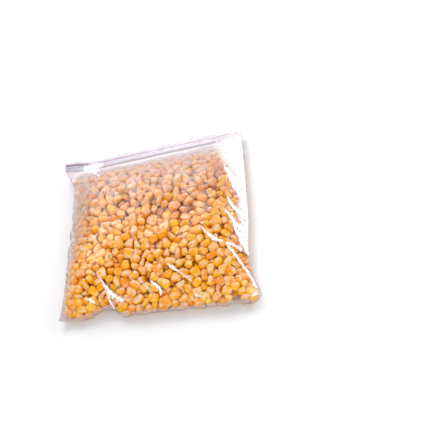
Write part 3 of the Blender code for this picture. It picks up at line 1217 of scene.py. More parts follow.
@dataclass
class ShadedCore:
    """Closed, lumpy body of corn well inside the loose kernels."""

    envelope: Envelope
    inset: float = 12.0 * MM
    cells: int = 46
    bow: float = 6.0
    least_height: float = 0.4 * MM
    lump_height: float = 0.8 * MM
    lump_pitch: tuple[float, float] = (700.0, 640.0)

    def build(self) -> bpy.types.Object:
        """Make the core as two grids that meet at its rim.

        Returns:
            the piece.
        """
        low, high = self.envelope.low, self.envelope.high
        centre, half = (low + high) / 2, (high - low) / 2 - 2.0 * self.inset
        count = self.cells + 1
        across, along = np.meshgrid(np.linspace(-1, 1, count), np.linspace(-1, 1, count), indexing="ij")
        x = centre[0] + half[0] * across * np.sqrt(1 - along * along / self.bow)
        y = centre[1] + half[1] * along * np.sqrt(1 - across * across / self.bow)
        top, under = self.envelope.heights(x, y)
        top, under = top - self.inset, under + self.inset
        level = (top + under) / 2
        rim = rim_of(x)
        half_height = np.where(rim, 0.0, np.maximum((top - under) / 2, self.least_height))
        lumps = self.lump_height * np.sin(x * self.lump_pitch[0]) * np.sin(y * self.lump_pitch[1])
        lumps[rim] = 0.0
        grids = [np.stack([x, y, level + side * half_height + lumps], -1) for side in (1, -1)]
        points, faces = weld_grids(*grids)
        return make_piece("shaded_core", points, faces, CoreFinish().build())


def rim_of(grid: np.ndarray) -> np.ndarray:
    """Mark the outermost points of a grid.

    Args:
        grid: an array whose first two axes are the grid's.

    Returns:
        (n, m) booleans, true on the rim.
    """
    rim = np.ones(grid.shape[:2], bool)
    rim[1:-1, 1:-1] = False
    return rim


def weld_grids(top: np.ndarray, under: np.ndarray) -> tuple[np.ndarray, np.ndarray]:
    """Join two grids of points at their shared rim into one closed skin.

    Args:
        top: (n, m, 3) points whose first axis runs towards +X and second towards +Y.
        under: as top, with the same rim.

    Returns:
        points and quads, all facing out.
    """
    rows, columns = top.shape[:2]
    number = np.arange(rows * columns).reshape(rows, columns)
    rim = rim_of(top)
    under_number = np.where(rim, number, 0)
    under_number[~rim] = rows * columns + np.arange((~rim).sum())
    points = np.concatenate([top.reshape(-1, 3), under[~rim]])

    def quads(index: np.ndarray) -> np.ndarray:
        """Corner numbers of each cell, counter-clockwise from above."""
        return np.stack([index[:-1, :-1], index[1:, :-1], index[1:, 1:], index[:-1, 1:]], -1).reshape(-1, 4)

    return points, np.concatenate([quads(number), quads(under_number)[:, ::-1]])


# ---------------------------------------------------------------- film


@dataclass(frozen=True)
class Crease:
    """A sharp crease of the top ply along a line of plan places, whitened along it with painted glare.

    Places, widths and height are in millimetres, and the painted glare's strength is from 0 to 1.  Widths run
    evenly from the first place to the last.
    """

    END_SHARE = 0.14
    END_STRENGTH = 0.25
    SOFT_EDGE = 0.4 * MM
    LIFT_REACH = 0.6 * MM
    RAGGED_X = (0.30, 1.9)
    RAGGED_Y = (0.20, 2.9)
    RAGGED_PHASE = 1.0
    RAGGED_WAVER = (0.7, 1.3)

    places: tuple[tuple[float, float], ...]
    widths: tuple[float, ...]
    glare_white: float
    height: float

    def read(self, x: np.ndarray, y: np.ndarray) -> tuple[np.ndarray, np.ndarray]:
        """Painted glare and raised height of the crease at plan points.

        Args:
            x: plan x of the points in metres.
            y: plan y of the points in metres.

        Returns:
            painted glare from 0 to 1, and height in metres.
        """
        nearest = np.full(x.shape, FAR)
        share = np.zeros(x.shape)
        steps = len(self.places) - 1
        for number in range(steps):
            first, last = np.array(self.places[number]) * MM, np.array(self.places[number + 1]) * MM
            run = last - first
            t = ((x - first[0]) * run[0] + (y - first[1]) * run[1]) / (run @ run)
            t = np.clip(t, 0.0, 1.0)
            away = np.hypot(x - first[0] - run[0] * t, y - first[1] - run[1] * t)
            closer = away < nearest
            nearest = np.where(closer, away, nearest)
            share = np.where(closer, (number + t) / steps, share)
        half = np.interp(share, np.linspace(0.0, 1.0, len(self.widths)), self.widths) * MM / 2
        ends = smoothstep(0.0, self.END_SHARE, share) * smoothstep(0.0, self.END_SHARE, 1.0 - share)
        strength = self.END_STRENGTH + (1.0 - self.END_STRENGTH) * ends
        half = half * strength * self._ragged(x / MM, y / MM)
        from_core = (nearest - 0.5 * half) / (0.5 * half + self.SOFT_EDGE)
        # Painted glare, strongest on the crease's core.
        glare_white = self.glare_white * (1.0 - smoothstep(0.0, 1.0, from_core)) * strength
        lift = self.height * MM * np.exp(-nearest / (half + self.LIFT_REACH))
        return glare_white, lift

    @classmethod
    def _ragged(cls, x: np.ndarray, y: np.ndarray) -> np.ndarray:
        """Work out how uneven a crease's width is.

        Args:
            x: plan x of the points in millimetres.
            y: plan y of the points in millimetres.

        Returns:
            the width's factor at each point.
        """
        waver = cls.RAGGED_WAVER[0] * np.sin(y * cls.RAGGED_WAVER[1])
        ragged = 1.0 + cls.RAGGED_X[0] * np.sin(x * cls.RAGGED_X[1] + waver)
        return ragged + cls.RAGGED_Y[0] * np.sin(y * cls.RAGGED_Y[1] + cls.RAGGED_PHASE)


# Creases as places, widths, painted glare and raised height.
CREASES = (
    Crease(
        ((-50, -61), (-45, -70), (-40, -77.5), (-34, -82.5), (-27, -87)),
        (0.8, 2.4, 4.6, 4.4, 3.4),
        0.92,
        0.5,
    ),
    Crease(((-46, -73), (-37, -84), (-30, -90)), (0.6, 1.6, 0.8), 0.5, 0.2),
    Crease(((-15.5, -66), (-11.4, -74), (-6, -80), (-3, -85)), (1.0, 3.0, 3.0, 2.0), 0.55, 0.3),
    Crease(((-5.6, -73), (-0.5, -77), (3.8, -82), (3.7, -88)), (0.8, 2.6, 2.6, 0.8), 0.95, 0.4),
    Crease(
        ((10, -58.7), (16, -65), (19, -68), (25, -72.7), (30, -77.8), (34, -82)),
        (3.4, 3.2, 1.8, 1.2, 1.0),
        0.8,
        0.5,
    ),
    Crease(((31.8, -89.5), (38.8, -91.5)), (3.0, 3.4), 0.7, 0.2),
    Crease(((-64, -77.5), (-59, -80), (-55, -82.5)), (1.6, 3.4, 2.4), 0.8, 0.3),
    Crease(((19.6, -82), (25, -86.5)), (1.0, 1.4, 0.8), 0.6, 0.2),
    Crease(((43, -27), (48, -36), (55, -43.7), (63.3, -48)), (1.2, 2.0, 4.6, 3.2), 0.97, 0.7),
    Crease(
        ((63.3, -48), (69.4, -55.6), (74, -63), (79.5, -72), (84, -83), (87, -91)),
        (3.2, 2.8, 2.4),
        0.97,
        0.6,
    ),
    Crease(((63.3, -48), (71, -49), (78, -52)), (3.0, 2.6, 3.6), 0.9, 0.4),
    Crease(((70, 41), (74, 33), (78, 17), (83, 8)), (1.6, 5.0, 6.0, 7.0), 0.96, 0.6),
    Crease(((69.5, 5), (72.5, -4.4), (77.3, -11), (85, -15)), (1.4, 3.6, 4.2, 5.0), 0.96, 0.5),
    Crease(((65.5, -10), (71, -19), (75, -27), (83, -32)), (1.4, 3.0, 4.6, 7.0), 0.92, 0.5),
    Crease(((72, -26), (76, -36), (80, -46), (83, -56)), (1.0, 4.0, 6.0, 2.0), 0.92, 0.3),
    Crease(((35, 41), (39, 30), (43.7, 19.7)), (0.8, 1.6, 0.8), 0.0, 0.9),
    Crease(((-62, 76), (-56, 66), (-50, 57)), (5.0, 4.0, 1.4), 0.45, 0.3),
    Crease(((-72, 79.5), (-61, 81.5), (-49, 84)), (5.0, 12.0, 6.0), 0.90, 0.0),
    Crease(((-45, -75), (-42, -82), (-39, -88)), (1.0, 2.4, 1.4), 0.8, 0.2),
    Crease(((74, -97), (82, -96), (87, -93)), (1.4, 2.6, 2.0), 0.6, 0.0),
)


@dataclass(frozen=True)
class Sheen:
    """Painted glare along the upper right side of the film, in fine lines that fan out.

    Places are in millimetres.  Each line and the waver is a strength and a pitch.
    """

    least_reach: float = 16.0
    added_reach: float = 26.0
    full_share: float = 0.05
    widening: tuple[float, float] = (10.0, 75.0)
    start: tuple[float, float] = (-66.0, -34.0)
    fan: tuple[float, float] = (0.78, 0.62)
    line_level: float = 0.55
    broad_line: tuple[float, float] = (0.25, 1.05)
    fine_line: tuple[float, float] = (0.20, 2.3)
    fine_phase: float = 1.7
    waver: tuple[float, float] = (0.8, 0.11)
    floor_white: float = 0.72
    line_white: float = 0.40
    most_white: float = 0.95

    def read(self, x: np.ndarray, y: np.ndarray, side: np.ndarray) -> np.ndarray:
        """Painted glare at plan points.

        Args:
            x: plan x of the points.
            y: plan y of the points.
            side: how far each point lies from the right side.

        Returns:
            painted glare from 0 to 1.
        """
        reach = self.least_reach + self.added_reach * smoothstep(*self.widening, y)
        band = 1.0 - smoothstep(self.full_share, 1.0, side / reach)
        band *= smoothstep(*self.start, y)
        fan = self.fan[0] * x + self.fan[1] * y
        waver = self.waver[0] * np.sin(y * self.waver[1])
        broad = self.broad_line[0] * np.sin(fan * self.broad_line[1] + waver)
        fine = self.fine_line[0] * np.sin(fan * self.fine_line[1] + self.fine_phase)
        lines = self.line_level + broad + fine
        return np.clip(band * (self.floor_white + self.line_white * lines), 0.0, self.most_white)


@dataclass(frozen=True)
class Haze:
    """How milky the film is: more towards the zip, where it is partly painted glare, along the left side, at
    the seams and in the ear.

    Places are in millimetres, and strengths are from 0 to 1.
    """

    # Milkiness towards the zip: partly frost, partly painted glare.
    upper_y: tuple[float, ...] = (-50.0, -15.0, 10.0, 40.0, 64.0, 76.0)
    upper: tuple[float, ...] = (0.0, 0.02, 0.10, 0.28, 0.45, 0.74)
    zip_upper: float = 0.10
    left: float = 0.26
    left_reach: tuple[float, float] = (4.0, 30.0)
    left_start: tuple[float, float] = (-55.0, -15.0)
    left_end: tuple[float, float] = (40.0, 70.0)
    seam: float = 0.50
    seam_reach: tuple[float, float] = (0.2, 1.6)
    ear: float = 0.60
    ear_reach: tuple[float, float] = (5.0, 13.0)

    def read(self, x: np.ndarray, y: np.ndarray, zip_column: int) -> np.ndarray:
        """Milkiness at each point of the film's grid.

        Args:
            x: plan x of the grid's points.
            y: plan y of the grid's points.
            zip_column: the first column of the grid that lies past the pouch.

        Returns:
            milkiness from 0 to 1.
        """
        upper = np.interp(y, self.upper_y, self.upper)
        upper[:, zip_column:] = self.zip_upper
        side = x - x[:1]
        left = (1.0 - smoothstep(*self.left_reach, side)) * smoothstep(*self.left_start, y)
        left = left * (1.0 - smoothstep(*self.left_end, y))
        rim = np.minimum(np.minimum(side, x[-1:] - x), y - y[:, :1])
        seam = 1.0 - smoothstep(*self.seam_reach, rim)
        ear = 1.0 - smoothstep(*self.ear_reach, np.hypot(x - x[0, 0], y - y[0, 0]))
        clear = (1.0 - upper) * (1.0 - self.left * left) * (1.0 - self.seam * seam) * (1.0 - self.ear * ear)
        return 1.0 - clear


@dataclass
class FilmDrape:
    """The two plies of film, draped over the corn and joined at the seams.

    The groups of fields are the grid of the film, the raster of corn that it lies on, its slack and
    stiffness, the heights that it keeps, and its looks.
    """

    HAIR = 0.01 * MM
    LINK_STEPS = ((1, 0), (0, 1), (1, 1), (1, -1), (2, 0), (0, 2))

    envelope: Envelope
    corn: CornFill
    across: int = 198
    pouch_rows: int = 204
    zip_rows: int = 14
    crowding: float = 0.62
    crowding_reach: float = 0.07
    mouth_crowding: float = 0.35
    lip_reach: float = 4.0 * MM
    lip_smoothing: int = 8
    lip_bend: float = 0.12

    raster: float = 0.75 * MM
    raster_margin: float = 5.0 * MM
    roundness: float = 0.12
    bridge_radius: float = 40.0 * MM
    bridge_reach: float = 6.0 * MM
    evenness: float = 2.8 * MM
    lifting_rounds: int = 3
    least_weight: float = 0.05

    seed: int = 5
    rounds: int = 260
    relax_rounds: int = 24
    ripple: float = 0.05 * MM
    sinking: float = 0.010 * MM
    stretch_across: float = 0.004
    side_slack: float = 0.030
    slack_reach: float = 16.0 * MM
    straight_stiffness: float = 0.50
    diagonal_stiffness: float = 0.25
    bend_stiffness: float = 0.22
    bend_free: float = 0.985
    rim_share: float = 0.25
    rim_anchor: float = 0.8

    film_gap: float = 0.25 * MM
    inward: float = 0.002
    shell: float = 0.4 * MM
    least_half: float = 0.10 * MM
    zip_gap: float = 0.15 * MM
    table_gap: float = 0.12 * MM
    ply_gap: float = 0.08 * MM
    flat_gap: float = 1.0 * MM
    full_gap: float = 10.0 * MM

    sheen: Sheen = Sheen()
    # Share of the painted glare on the right side that stays over the zip.
    zip_sheen: float = 0.6
    haze: Haze = Haze()
    under_haze: float = 0.4

    def _graded(self, cells: int, far_end: float) -> np.ndarray:
        """Places of grid lines from 0 to 1, crowded towards the seams.

        Args:
            cells: how many cells there are.
            far_end: how strongly they crowd at 1, as a share of the crowding at 0.

        Returns:
            the places, cells + 1 of them.
        """
        even = np.linspace(0.0, 1.0, cells + 1)
        size = 1.0 - self.crowding * np.exp(-even / self.crowding_reach)
        size = size - self.crowding * far_end * np.exp((even - 1.0) / self.crowding_reach)
        steps = (size[1:] + size[:-1]) / 2
        return np.concatenate([[0.0], np.cumsum(steps) / steps.sum()])

    @staticmethod
    def _corner(points: np.ndarray, x_pull: float, y_pull: float) -> np.ndarray:
        """Point that lies farthest towards a plan direction."""
        return points[np.argmax(x_pull * points[:, 0] + y_pull * points[:, 1])]

    def _edge(self, axis: int, places: np.ndarray, ends: tuple[float, float], side: int) -> np.ndarray:
        """Read one edge of the pouch's plan.

        Args:
            axis: 0 for an edge that runs along x, 1 for one that runs along y.
            places: coordinates along the edge.
            ends: the least and the greatest place that can be read.
            side: 0 for the lower edge, 1 for the higher.

        Returns:
            the edge's coordinate on the other plan axis, for each place.
        """
        return self.envelope.slice_reach(axis, np.clip(places, *ends))[side]

    @staticmethod
    def _span(edges: tuple[np.ndarray, ...], s: np.ndarray, t: np.ndarray) -> np.ndarray:
        """Fill a grid between four edges.

        Args:
            edges: values along the bottom, the top, the left and the right edge.
            s: share of the way from left to right of each column, as (n, 1).
            t: share of the way from bottom to top of each row, as (1, m).

        Returns:
            (n, m) values that meet all four edges.
        """
        bottom, top, left, right = edges
        filled = (1 - t) * bottom[:, None] + t * top[:, None] + (1 - s) * left[None] + s * right[None]
        corners = (1 - s) * ((1 - t) * bottom[0] + t * top[0])
        return filled - (corners + s * ((1 - t) * bottom[-1] + t * top[-1]))

    def _outline(self) -> tuple[np.ndarray, np.ndarray]:
        """Plan of the film's grid, fitted to the frame's edges.

        Returns:
            x and y of the grid, (across + 1, rows + 1) each.
        """
        pouch, hair = self.envelope.points, self.HAIR
        share = self._graded(self.across, 1.0)
        tall = self._graded(self.pouch_rows, self.mouth_crowding)
        low_left, low_right = self._corner(pouch, -1.0, -1.0), self._corner(pouch, 1.0, -1.0)
        top_left, top_right = self._corner(pouch, -1.0, 3.0), self._corner(pouch, 1.0, 3.0)
        bottom_x = low_left[0] + (low_right[0] - low_left[0]) * share
        bottom_y = self._edge(0, bottom_x, (low_left[0] + hair, low_right[0] - hair), 0)
        zip_x = top_left[0] + (top_right[0] - top_left[0]) * share
        zip_ends = (self.envelope.low[0] + 10.0 * hair, self.envelope.high[0] - 10.0 * hair)
        zip_y = self._edge(0, zip_x, zip_ends, 1)
        zip_y[0], zip_y[-1] = top_left[1], top_right[1]
        left_y = low_left[1] + (top_left[1] - low_left[1]) * tall
        left_x = self._edge(1, left_y, (low_left[1] + hair, top_left[1] - hair), 0)
        right_y = low_right[1] + (top_right[1] - low_right[1]) * tall
        right_x = self._edge(1, right_y, (low_right[1] + hair, top_right[1] - hair), 1)
        x = self._span((bottom_x, zip_x, left_x, right_x), share[:, None], tall[None, :])
        y = self._span((bottom_y, zip_y, left_y, right_y), share[:, None], tall[None, :])
        lip_x, lip_y = self._lip_edge(share)
        beyond = np.linspace(0.0, 1.0, self.zip_rows + 1)[1:]
        strip_x = zip_x[:, None] + (lip_x - zip_x)[:, None] * smoothstep(0.0, self.lip_bend, beyond)[None]
        strip_y = zip_y[:, None] + (lip_y - zip_y)[:, None] * beyond[None]
        return np.concatenate([x, strip_x], 1), np.concatenate([y, strip_y], 1)

    def _lip_edge(self, share: np.ndarray) -> tuple[np.ndarray, np.ndarray]:
        """Plan of the lip's free edge.

        Args:
            share: share of the way from left to right of each place.

        Returns:
            x and y of the places.
        """
        lip = self.envelope.lip_points
        lip_left, lip_right = self._corner(lip, -1.0, 3.0), self._corner(lip, 1.0, 3.0)
        lip_x = lip_left[0] + (lip_right[0] - lip_left[0]) * share
        near = np.abs(lip[None, :, 0] - lip_x[:, None]) < self.lip_reach
        lip_y = np.where(near, lip[None, :, 1], -FAR).max(1)
        return lip_x, running_mean(lip_y, self.lip_smoothing)

    def _corn_surface(self) -> None:
        """Raster the highest and the lowest corn over the plan, from the kernels' own points."""
        points = self.corn.all_points()
        low = self.envelope.low[:2] - self.raster_margin
        high = self.envelope.high[:2] + self.raster_margin
        counts = np.ceil((high - low) / self.raster).astype(int) + 1
        top = np.full(tuple(counts), -FAR)
        under = np.full(tuple(counts), FAR)
        cell = np.round((points[:, :2] - low) / self.raster).astype(int)
        for step in np.ndindex(3, 3):
            spot = np.clip(cell + np.array(step) - 1, 0, counts - 1)
            away = ((spot * self.raster + low - points[:, :2]) ** 2).sum(1)
            drop = self.roundness * away / self.raster
            np.maximum.at(top, tuple(spot.T), points[:, 2] - drop)
            np.minimum.at(under, tuple(spot.T), points[:, 2] + drop)
        self.corn_low = low
        self.corn_top = self._even(self._bridge(top))
        self.corn_under = -self._bridge(-under)

    def _bridge(self, heights: np.ndarray) -> np.ndarray:
        """Span the gaps between kernels as film does, by a ball that rolls over the heights.

        Args:
            heights: raster of the corn's heights, low where there is none.

        Returns:
            the raster of what the ball can't get below.
        """
        reach = int(self.bridge_reach / self.raster)
        steps = [step for step in np.ndindex(2 * reach + 1, 2 * reach + 1)]
        offsets = [(i - reach, j - reach) for i, j in steps if math.hypot(i - reach, j - reach) <= reach]
        bridged = heights
        for side in (1.0, -1.0):
            padded = np.pad(bridged, reach, mode="edge")
            best = np.full(heights.shape, -side * np.inf)
            for i, j in offsets:
                away = math.hypot(i, j) * self.raster
                drop = self.bridge_radius - math.sqrt(self.bridge_radius**2 - away**2)
                rows = slice(reach + i, reach + i + heights.shape[0])
                columns = slice(reach + j, reach + j + heights.shape[1])
                moved = padded[rows, columns] - side * drop
                best = np.maximum(best, moved) if side > 0 else np.minimum(best, moved)
            bridged = best
        return bridged

    def _even(self, heights: np.ndarray) -> np.ndarray:
        """Smooth a raster as taut film does, and lift it until it clears every high place again.

        Args:
            heights: raster of heights, below zero where there is no corn.

        Returns:
            the smoothed raster, with the empty places as they were.
        """
        rows, columns = (np.fft.fftfreq(length, self.raster) for length in heights.shape)
        weight = np.exp(-2.0 * (math.pi * self.evenness) ** 2 * (rows[:, None] ** 2 + columns[None] ** 2))

        def blur(values: np.ndarray) -> np.ndarray:
            """Blur a raster by a bell curve as wide as the evenness."""
            return np.fft.ifft2(np.fft.fft2(values) * weight).real

        filled = (heights > 0.0).astype(float)
        level = np.where(filled > 0.0, heights, 0.0)
        smooth = blur(level) / np.maximum(blur(filled), self.least_weight)
        reach = int(self.evenness / self.raster)
        for _ in range(self.lifting_rounds):
            over = np.maximum(level - smooth, 0.0) * filled
            padded = np.pad(over, reach)
            high = np.zeros_like(over)
            for i, j in np.ndindex(2 * reach + 1, 2 * reach + 1):
                high = np.maximum(high, padded[i : i + over.shape[0], j : j + over.shape[1]])
            smooth += blur(high * filled) / np.maximum(blur(filled), self.least_weight)
        return np.where(filled > 0.0, smooth, heights)

    def _corn_at(self, values: np.ndarray, x: np.ndarray, y: np.ndarray) -> np.ndarray:
        """Read a raster of the corn between its four nearest cells.

        Args:
            values: the raster.
            x: plan x of the points.
            y: plan y of the points.

        Returns:
            the value at each point.
        """
        place_x = np.clip((x - self.corn_low[0]) / self.raster, 0, values.shape[0] - 1.001)
        place_y = np.clip((y - self.corn_low[1]) / self.raster, 0, values.shape[1] - 1.001)
        column, row = place_x.astype(int), place_y.astype(int)
        dx, dy = place_x - column, place_y - row
        near = values[column, row] * (1 - dx) + values[column + 1, row] * dx
        far = values[column, row + 1] * (1 - dx) + values[column + 1, row + 1] * dx
        return near * (1 - dy) + far * dy

    def _first_shape(self) -> None:
        """Lay both plies on the frame's surface, clear of the zip's ribs, with the seams brought together."""
        x, y = self._outline()
        top, under = self.envelope.heights(x - x * self.inward, y - y * self.inward, whole=True)
        middle, gap = (top + under) / 2, top - under
        half = np.maximum(gap / 2 - self.shell, self.least_half)
        zipped = slice(self.pouch_rows, None)
        ribs = np.pad(gap[:, zipped], ((0, 0), (2, 2)), mode="edge")
        crests = np.max([ribs[:, step : step + gap[:, zipped].shape[1]] for step in range(5)], axis=0)
        half[:, zipped] = crests / 2 + self.zip_gap
        half[0], half[-1], half[:, 0], half[:, -1] = 0.0, 0.0, 0.0, 0.0
        self.top = np.stack([x, y, middle + half], -1)
        self.under = np.stack([x, y, middle - half], -1)
        self.fullness = np.clip((gap - self.flat_gap) / self.full_gap, 0.0, 1.0)

    def _links(self, points: np.ndarray) -> list[tuple]:
        """Rest lengths of the film between near grid points, with slack along the side seams.

        Args:
            points: (n, m, 3) positions of one ply.

        Returns:
            step and rest length of each family of links.
        """
        middle = points[:, points.shape[1] // 2]
        side = np.minimum(middle[:, 0] - middle[0, 0], middle[-1, 0] - middle[:, 0])
        slack = self.side_slack * np.exp(-((side / self.slack_reach) ** 2))
        links = []
        for step in self.LINK_STEPS:
            share = self.stretch_across if step == (1, 0) else 0.0
            first, second = self._ends(points, step)
            length = np.linalg.norm(second - first, axis=-1)
            if step[1]:
                extra = slack[: length.shape[0], None]
                if step[0]:
                    extra = extra * 0.5
                length = length * (1.0 + extra)
            links.append((step, length * (1.0 + share)))
        return links

    @staticmethod
    def _ends(points: np.ndarray, step: tuple[int, int]) -> tuple[np.ndarray, np.ndarray]:
        """Pair every grid point with its neighbour one step away.

        Args:
            points: (n, m, 3) values at the grid's points.
            step: how far the neighbour lies along the first and the second axis.

        Returns:
            views of the points and of their neighbours.
        """
        i, j = step
        rows = slice(max(0, -j), points.shape[1] - max(0, j))
        other = slice(max(0, j), points.shape[1] - max(0, -j))
        return points[: points.shape[0] - i, rows], points[i:, other]

    def _tighten(self, points: np.ndarray, links: list[tuple], held: np.ndarray) -> None:
        """Move grid points towards their rest distances, in place.

        Args:
            points: (n, m, 3) positions.
            links: step and rest length of each family of links.
            held: (n, m, 1) share of each move that a point takes, 0 where it is fixed.
        """
        for step, rest in links:
            total = np.zeros_like(points)
            first, second = self._ends(points, step)
            gap = second - first
            distance = np.maximum(np.linalg.norm(gap, axis=-1, keepdims=True), 1e-9)
            short = distance - rest[..., None]
            stiffness = self.straight_stiffness if 0 in step else self.diagonal_stiffness
            if max(step) == 2:
                short = np.minimum(distance - rest[..., None] * self.bend_free, 0.0)
                stiffness = self.bend_stiffness
            move = gap / distance * short * stiffness
            pulls = self._ends(total, step)
            pulls[0][...] += move * 0.5
            pulls[1][...] -= move * 0.5
            points += total * held

    def drape(self) -> None:
        """Let the film find its shape over the corn."""
        rng = np.random.default_rng(self.seed)
        self._corn_surface()
        self._first_shape()
        held = np.ones(self.top.shape[:2] + (1,))
        held[:, self.pouch_rows - 1 :] = 0.0
        held[[0, -1]] = self.rim_share
        held[:, 0] = self.rim_share
        anchor = self.top.copy()
        top_links, under_links = self._links(self.top), self._links(self.under)
        ripple = rng.normal(0.0, self.ripple, self.top.shape[:2])
        self.top[..., 2] += ripple * held[..., 0]
        pouch = self.pouch_rows
        for _ in range(self.rounds):
            self._tighten(self.top, top_links, held)
            self._tighten(self.under, under_links, held)
            self.top[:, :pouch, 2] -= self.sinking * held[:, :pouch, 0]
            corn = self._corn_at(self.corn_top, self.top[..., 0], self.top[..., 1]) + self.film_gap
            self.top[:, :pouch, 2] = np.maximum(self.top[:, :pouch, 2], corn[:, :pouch])
            corn = self._corn_at(self.corn_under, self.under[..., 0], self.under[..., 1]) - self.film_gap
            self.under[:, :pouch, 2] = np.minimum(self.under[:, :pouch, 2], corn[:, :pouch])
            self.under[..., 2] = np.maximum(self.under[..., 2], self.table_gap)
            self.top[..., 2] = np.maximum(self.top[..., 2], self.under[..., 2] + self.ply_gap)
            for rim in ((0, slice(None)), (-1, slice(None)), (slice(None), 0)):
                shared = (self.top[rim] + self.under[rim]) / 2
                shared[..., :2] += (anchor[rim][..., :2] - shared[..., :2]) * self.rim_anchor
                self.top[rim] = self.under[rim] = shared
        self.under[:, -1] = self.top[:, -1]
        self._relax()
        self._crease()

    def _relax(self) -> None:
        """Even out the top ply between its neighbours, still clear of the corn."""
        inner = (slice(1, -1), slice(1, self.pouch_rows - 1))
        corn = self._corn_at(self.corn_top, self.top[..., 0], self.top[..., 1]) + self.film_gap
        for _ in range(self.relax_rounds):
            near = self.top[:-2, 1 : self.pouch_rows - 1] + self.top[2:, 1 : self.pouch_rows - 1]
            near = near + self.top[1:-1, : self.pouch_rows - 2] + self.top[1:-1, 2 : self.pouch_rows]
            self.top[inner] += (near / 4 - self.top[inner]) * 0.5
            self.top[inner][..., 2] = np.maximum(self.top[inner][..., 2], corn[inner])

    def _crease(self) -> None:
        """Raise the creases and note how much painted glare each place of the film has."""
        x, y = self.top[..., 0], self.top[..., 1]
        readings = [crease.read(x, y) for crease in CREASES]
        self.glare_white = 1.0 - np.prod([1.0 - glare_white for glare_white, _ in readings], axis=0)
        sheen = self.sheen.read(x / MM, y / MM, (x[-1:] - x) / MM)
        sheen[:, self.pouch_rows + 1 :] *= self.zip_sheen
        self.glare_white = 1.0 - (1.0 - self.glare_white) * (1.0 - sheen)
        raised = np.max([lift for _, lift in readings], axis=0)
        held = self.fullness.copy()
        held[:, self.pouch_rows :] = 0.0
        self.top[..., 2] += raised * held

    def build(self) -> bpy.types.Object:
        """Make the film as one closed skin.

        Returns:
            the piece.
        """
        points, faces = weld_grids(self.top, self.under)
        milky = self.haze.read(self.top[..., 0] / MM, self.top[..., 1] / MM, self.pouch_rows + 1)
        inner = ~rim_of(milky)
        attributes = {
            "haze": np.concatenate([milky.ravel(), self.under_haze * milky[inner]]),
            # Painted glare, on the top ply only.
            "painted_glare": np.concatenate([self.glare_white.ravel(), np.zeros(inner.sum())]),
        }
        return make_piece("film_skin", points, faces, FilmFinish().build(), attributes)


# ---------------------------------------------------------------- zip


@dataclass(frozen=True)
class ZipStrips:
    """The zip's two strips, which keep the frame's own shapes."""

    # The third colour of each strip is its right end, washed out with painted glare.
    inner: StripFinish = StripFinish("zip_blue", (0.46, 0.46, 0.53), (0.56, 0.555, 0.63), (0.83, 0.80, 0.83))
    outer: StripFinish = StripFinish("zip_mauve", (0.34, 0.20, 0.29), (0.41, 0.27, 0.36), (0.76, 0.66, 0.72))

    def dress(self, nodes: dict[str, bpy.types.Object]) -> None:
        """Give each strip its finish.

        Args:
            nodes: the frame's objects by node name.
        """
        for name, finish in (("zip_strip_inner", self.inner), ("zip_strip_outer", self.outer)):
            materials = nodes[name].data.materials
            materials.clear()
            materials.append(finish.build())
            log.info("%s: %s", name, finish.name)


# ---------------------------------------------------------------- studio


@dataclass(frozen=True)
class Panel:
    """A soft light panel that faces the bag.

    Azimuth runs from straight behind the bag (0) towards its right (90), elevation up from the floor,
    both in degrees.  Brightness is the panel's radiance.
    """

    name: str
    azimuth: float
    elevation: float
    distance: float
    size: tuple[float, float]
    brightness: float


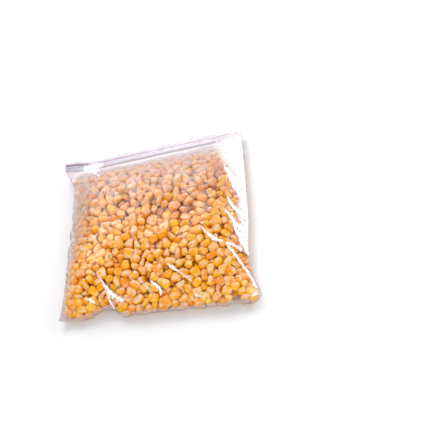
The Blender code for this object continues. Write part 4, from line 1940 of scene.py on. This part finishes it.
@dataclass
class Studio:
    """Pale floor, soft lights and the camera."""

    camera_place: tuple = (0.1284, -0.5027, 0.6272)
    camera_right: tuple = (0.9835, -0.0754, -0.1642)
    camera_up: tuple = (0.1604, 0.7828, 0.6012)
    lens: float = 70.0
    sensor: float = 36.0
    floor_reach: float = 1.0
    horizon: Color = (0.95, 0.95, 0.98)
    zenith: Color = (0.50, 0.50, 0.52)
    horizon_height: float = 0.05
    zenith_height: float = 0.60
    panels: tuple[Panel, ...] = (
        Panel("window_panel", 50.0, 24.0, 1.2, (0.60, 0.45), 8.0),
        Panel("key_panel", -24.0, 42.0, 1.5, (0.90, 0.80), 7.5),
        Panel("front_fill", 172.0, 38.0, 1.4, (1.20, 1.00), 2.6),
    )

    def build_floor(self) -> None:
        """Lay the floor."""
        bm = bmesh.new()
        bmesh.ops.create_circle(bm, cap_ends=True, segments=96, radius=self.floor_reach)
        mesh = bpy.data.meshes.new("floor")
        bm.to_mesh(mesh)
        bm.free()
        mesh.materials.append(FloorFinish().build())
        floor = bpy.data.objects.new("floor", mesh)
        bpy.context.scene.collection.objects.link(floor)

    def add_panel(self, panel: Panel) -> None:
        """Hang a soft light panel.

        Args:
            panel: the panel's place, size and brightness.
        """
        data = bpy.data.lights.new(panel.name, "AREA")
        data.shape = "RECTANGLE"
        data.size, data.size_y = panel.size
        data.energy = panel.brightness * math.pi * panel.size[0] * panel.size[1]
        azimuth, elevation = math.radians(panel.azimuth), math.radians(panel.elevation)
        level = math.cos(elevation)
        place = Vector((math.sin(azimuth) * level, math.cos(azimuth) * level, math.sin(elevation)))
        lamp = bpy.data.objects.new(panel.name, data)
        lamp.location = place * panel.distance
        lamp.rotation_euler = (-place).to_track_quat("-Z", "Y").to_euler()
        bpy.context.scene.collection.objects.link(lamp)

    def build_lights(self) -> None:
        """Set the sky and the panels."""
        world = bpy.data.worlds.new("studio")
        bpy.context.scene.world = world
        world.use_nodes = True
        sheet = NodeSheet(world.node_tree)
        place = sheet.add("TexCoord").outputs["Generated"]
        height = sheet.add("SeparateXYZ", Vector=place).outputs["Z"]
        overhead = sheet.ramp(height, self.horizon_height, self.zenith_height)
        shade = sheet.mix_color(overhead, self.horizon, self.zenith)
        background = sheet.add("Background", Color=shade, Strength=1.0)
        sheet.add("OutputWorld", Surface=background.outputs["Background"])
        for panel in self.panels:
            self.add_panel(panel)

    def build_camera(self) -> None:
        """Place the camera."""
        right, up = Vector(self.camera_right), Vector(self.camera_up)
        back = right.cross(up)
        turn = Matrix((right, up, back)).transposed().to_4x4()
        data = bpy.data.cameras.new("camera")
        data.lens = self.lens
        data.sensor_width = self.sensor
        camera = bpy.data.objects.new("camera", data)
        camera.matrix_world = Matrix.Translation(self.camera_place) @ turn
        bpy.context.scene.collection.objects.link(camera)
        bpy.context.scene.camera = camera

    def build(self) -> None:
        """Build the whole studio."""
        bpy.context.scene.view_settings.view_transform = "Standard"
        self.build_floor()
        self.build_lights()
        self.build_camera()


# ---------------------------------------------------------------- main


def main() -> None:
    """Build every piece around the frame."""
    logging.basicConfig(level=logging.INFO, format="%(name)s: %(message)s")
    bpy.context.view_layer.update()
    nodes = frame["nodes"]
    Studio().build()

    envelope = Envelope(nodes)
    envelope.build_distance_field()
    log.info("distance field %s", envelope.distance.shape)
    packing = KernelPacking(envelope)
    packing.settle()
    corn = CornFill(packing)
    corn.shape_all()
    for piece in corn.build():
        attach(piece, ROOT)
        log.info("%s: %d triangles", piece.name, len(piece.data.polygons))
    core = ShadedCore(envelope).build()
    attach(core, ROOT)
    log.info("%s: %d quads", core.name, len(core.data.polygons))

    film_drape = FilmDrape(envelope, corn)
    film_drape.drape()
    film = film_drape.build()
    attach(film, ROOT)
    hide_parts("filled_pouch", "mouth_lip")
    log.info("%s: %d quads", film.name, len(film.data.polygons))
    ZipStrips().dress(nodes)


if __name__ == "__main__":
    main()
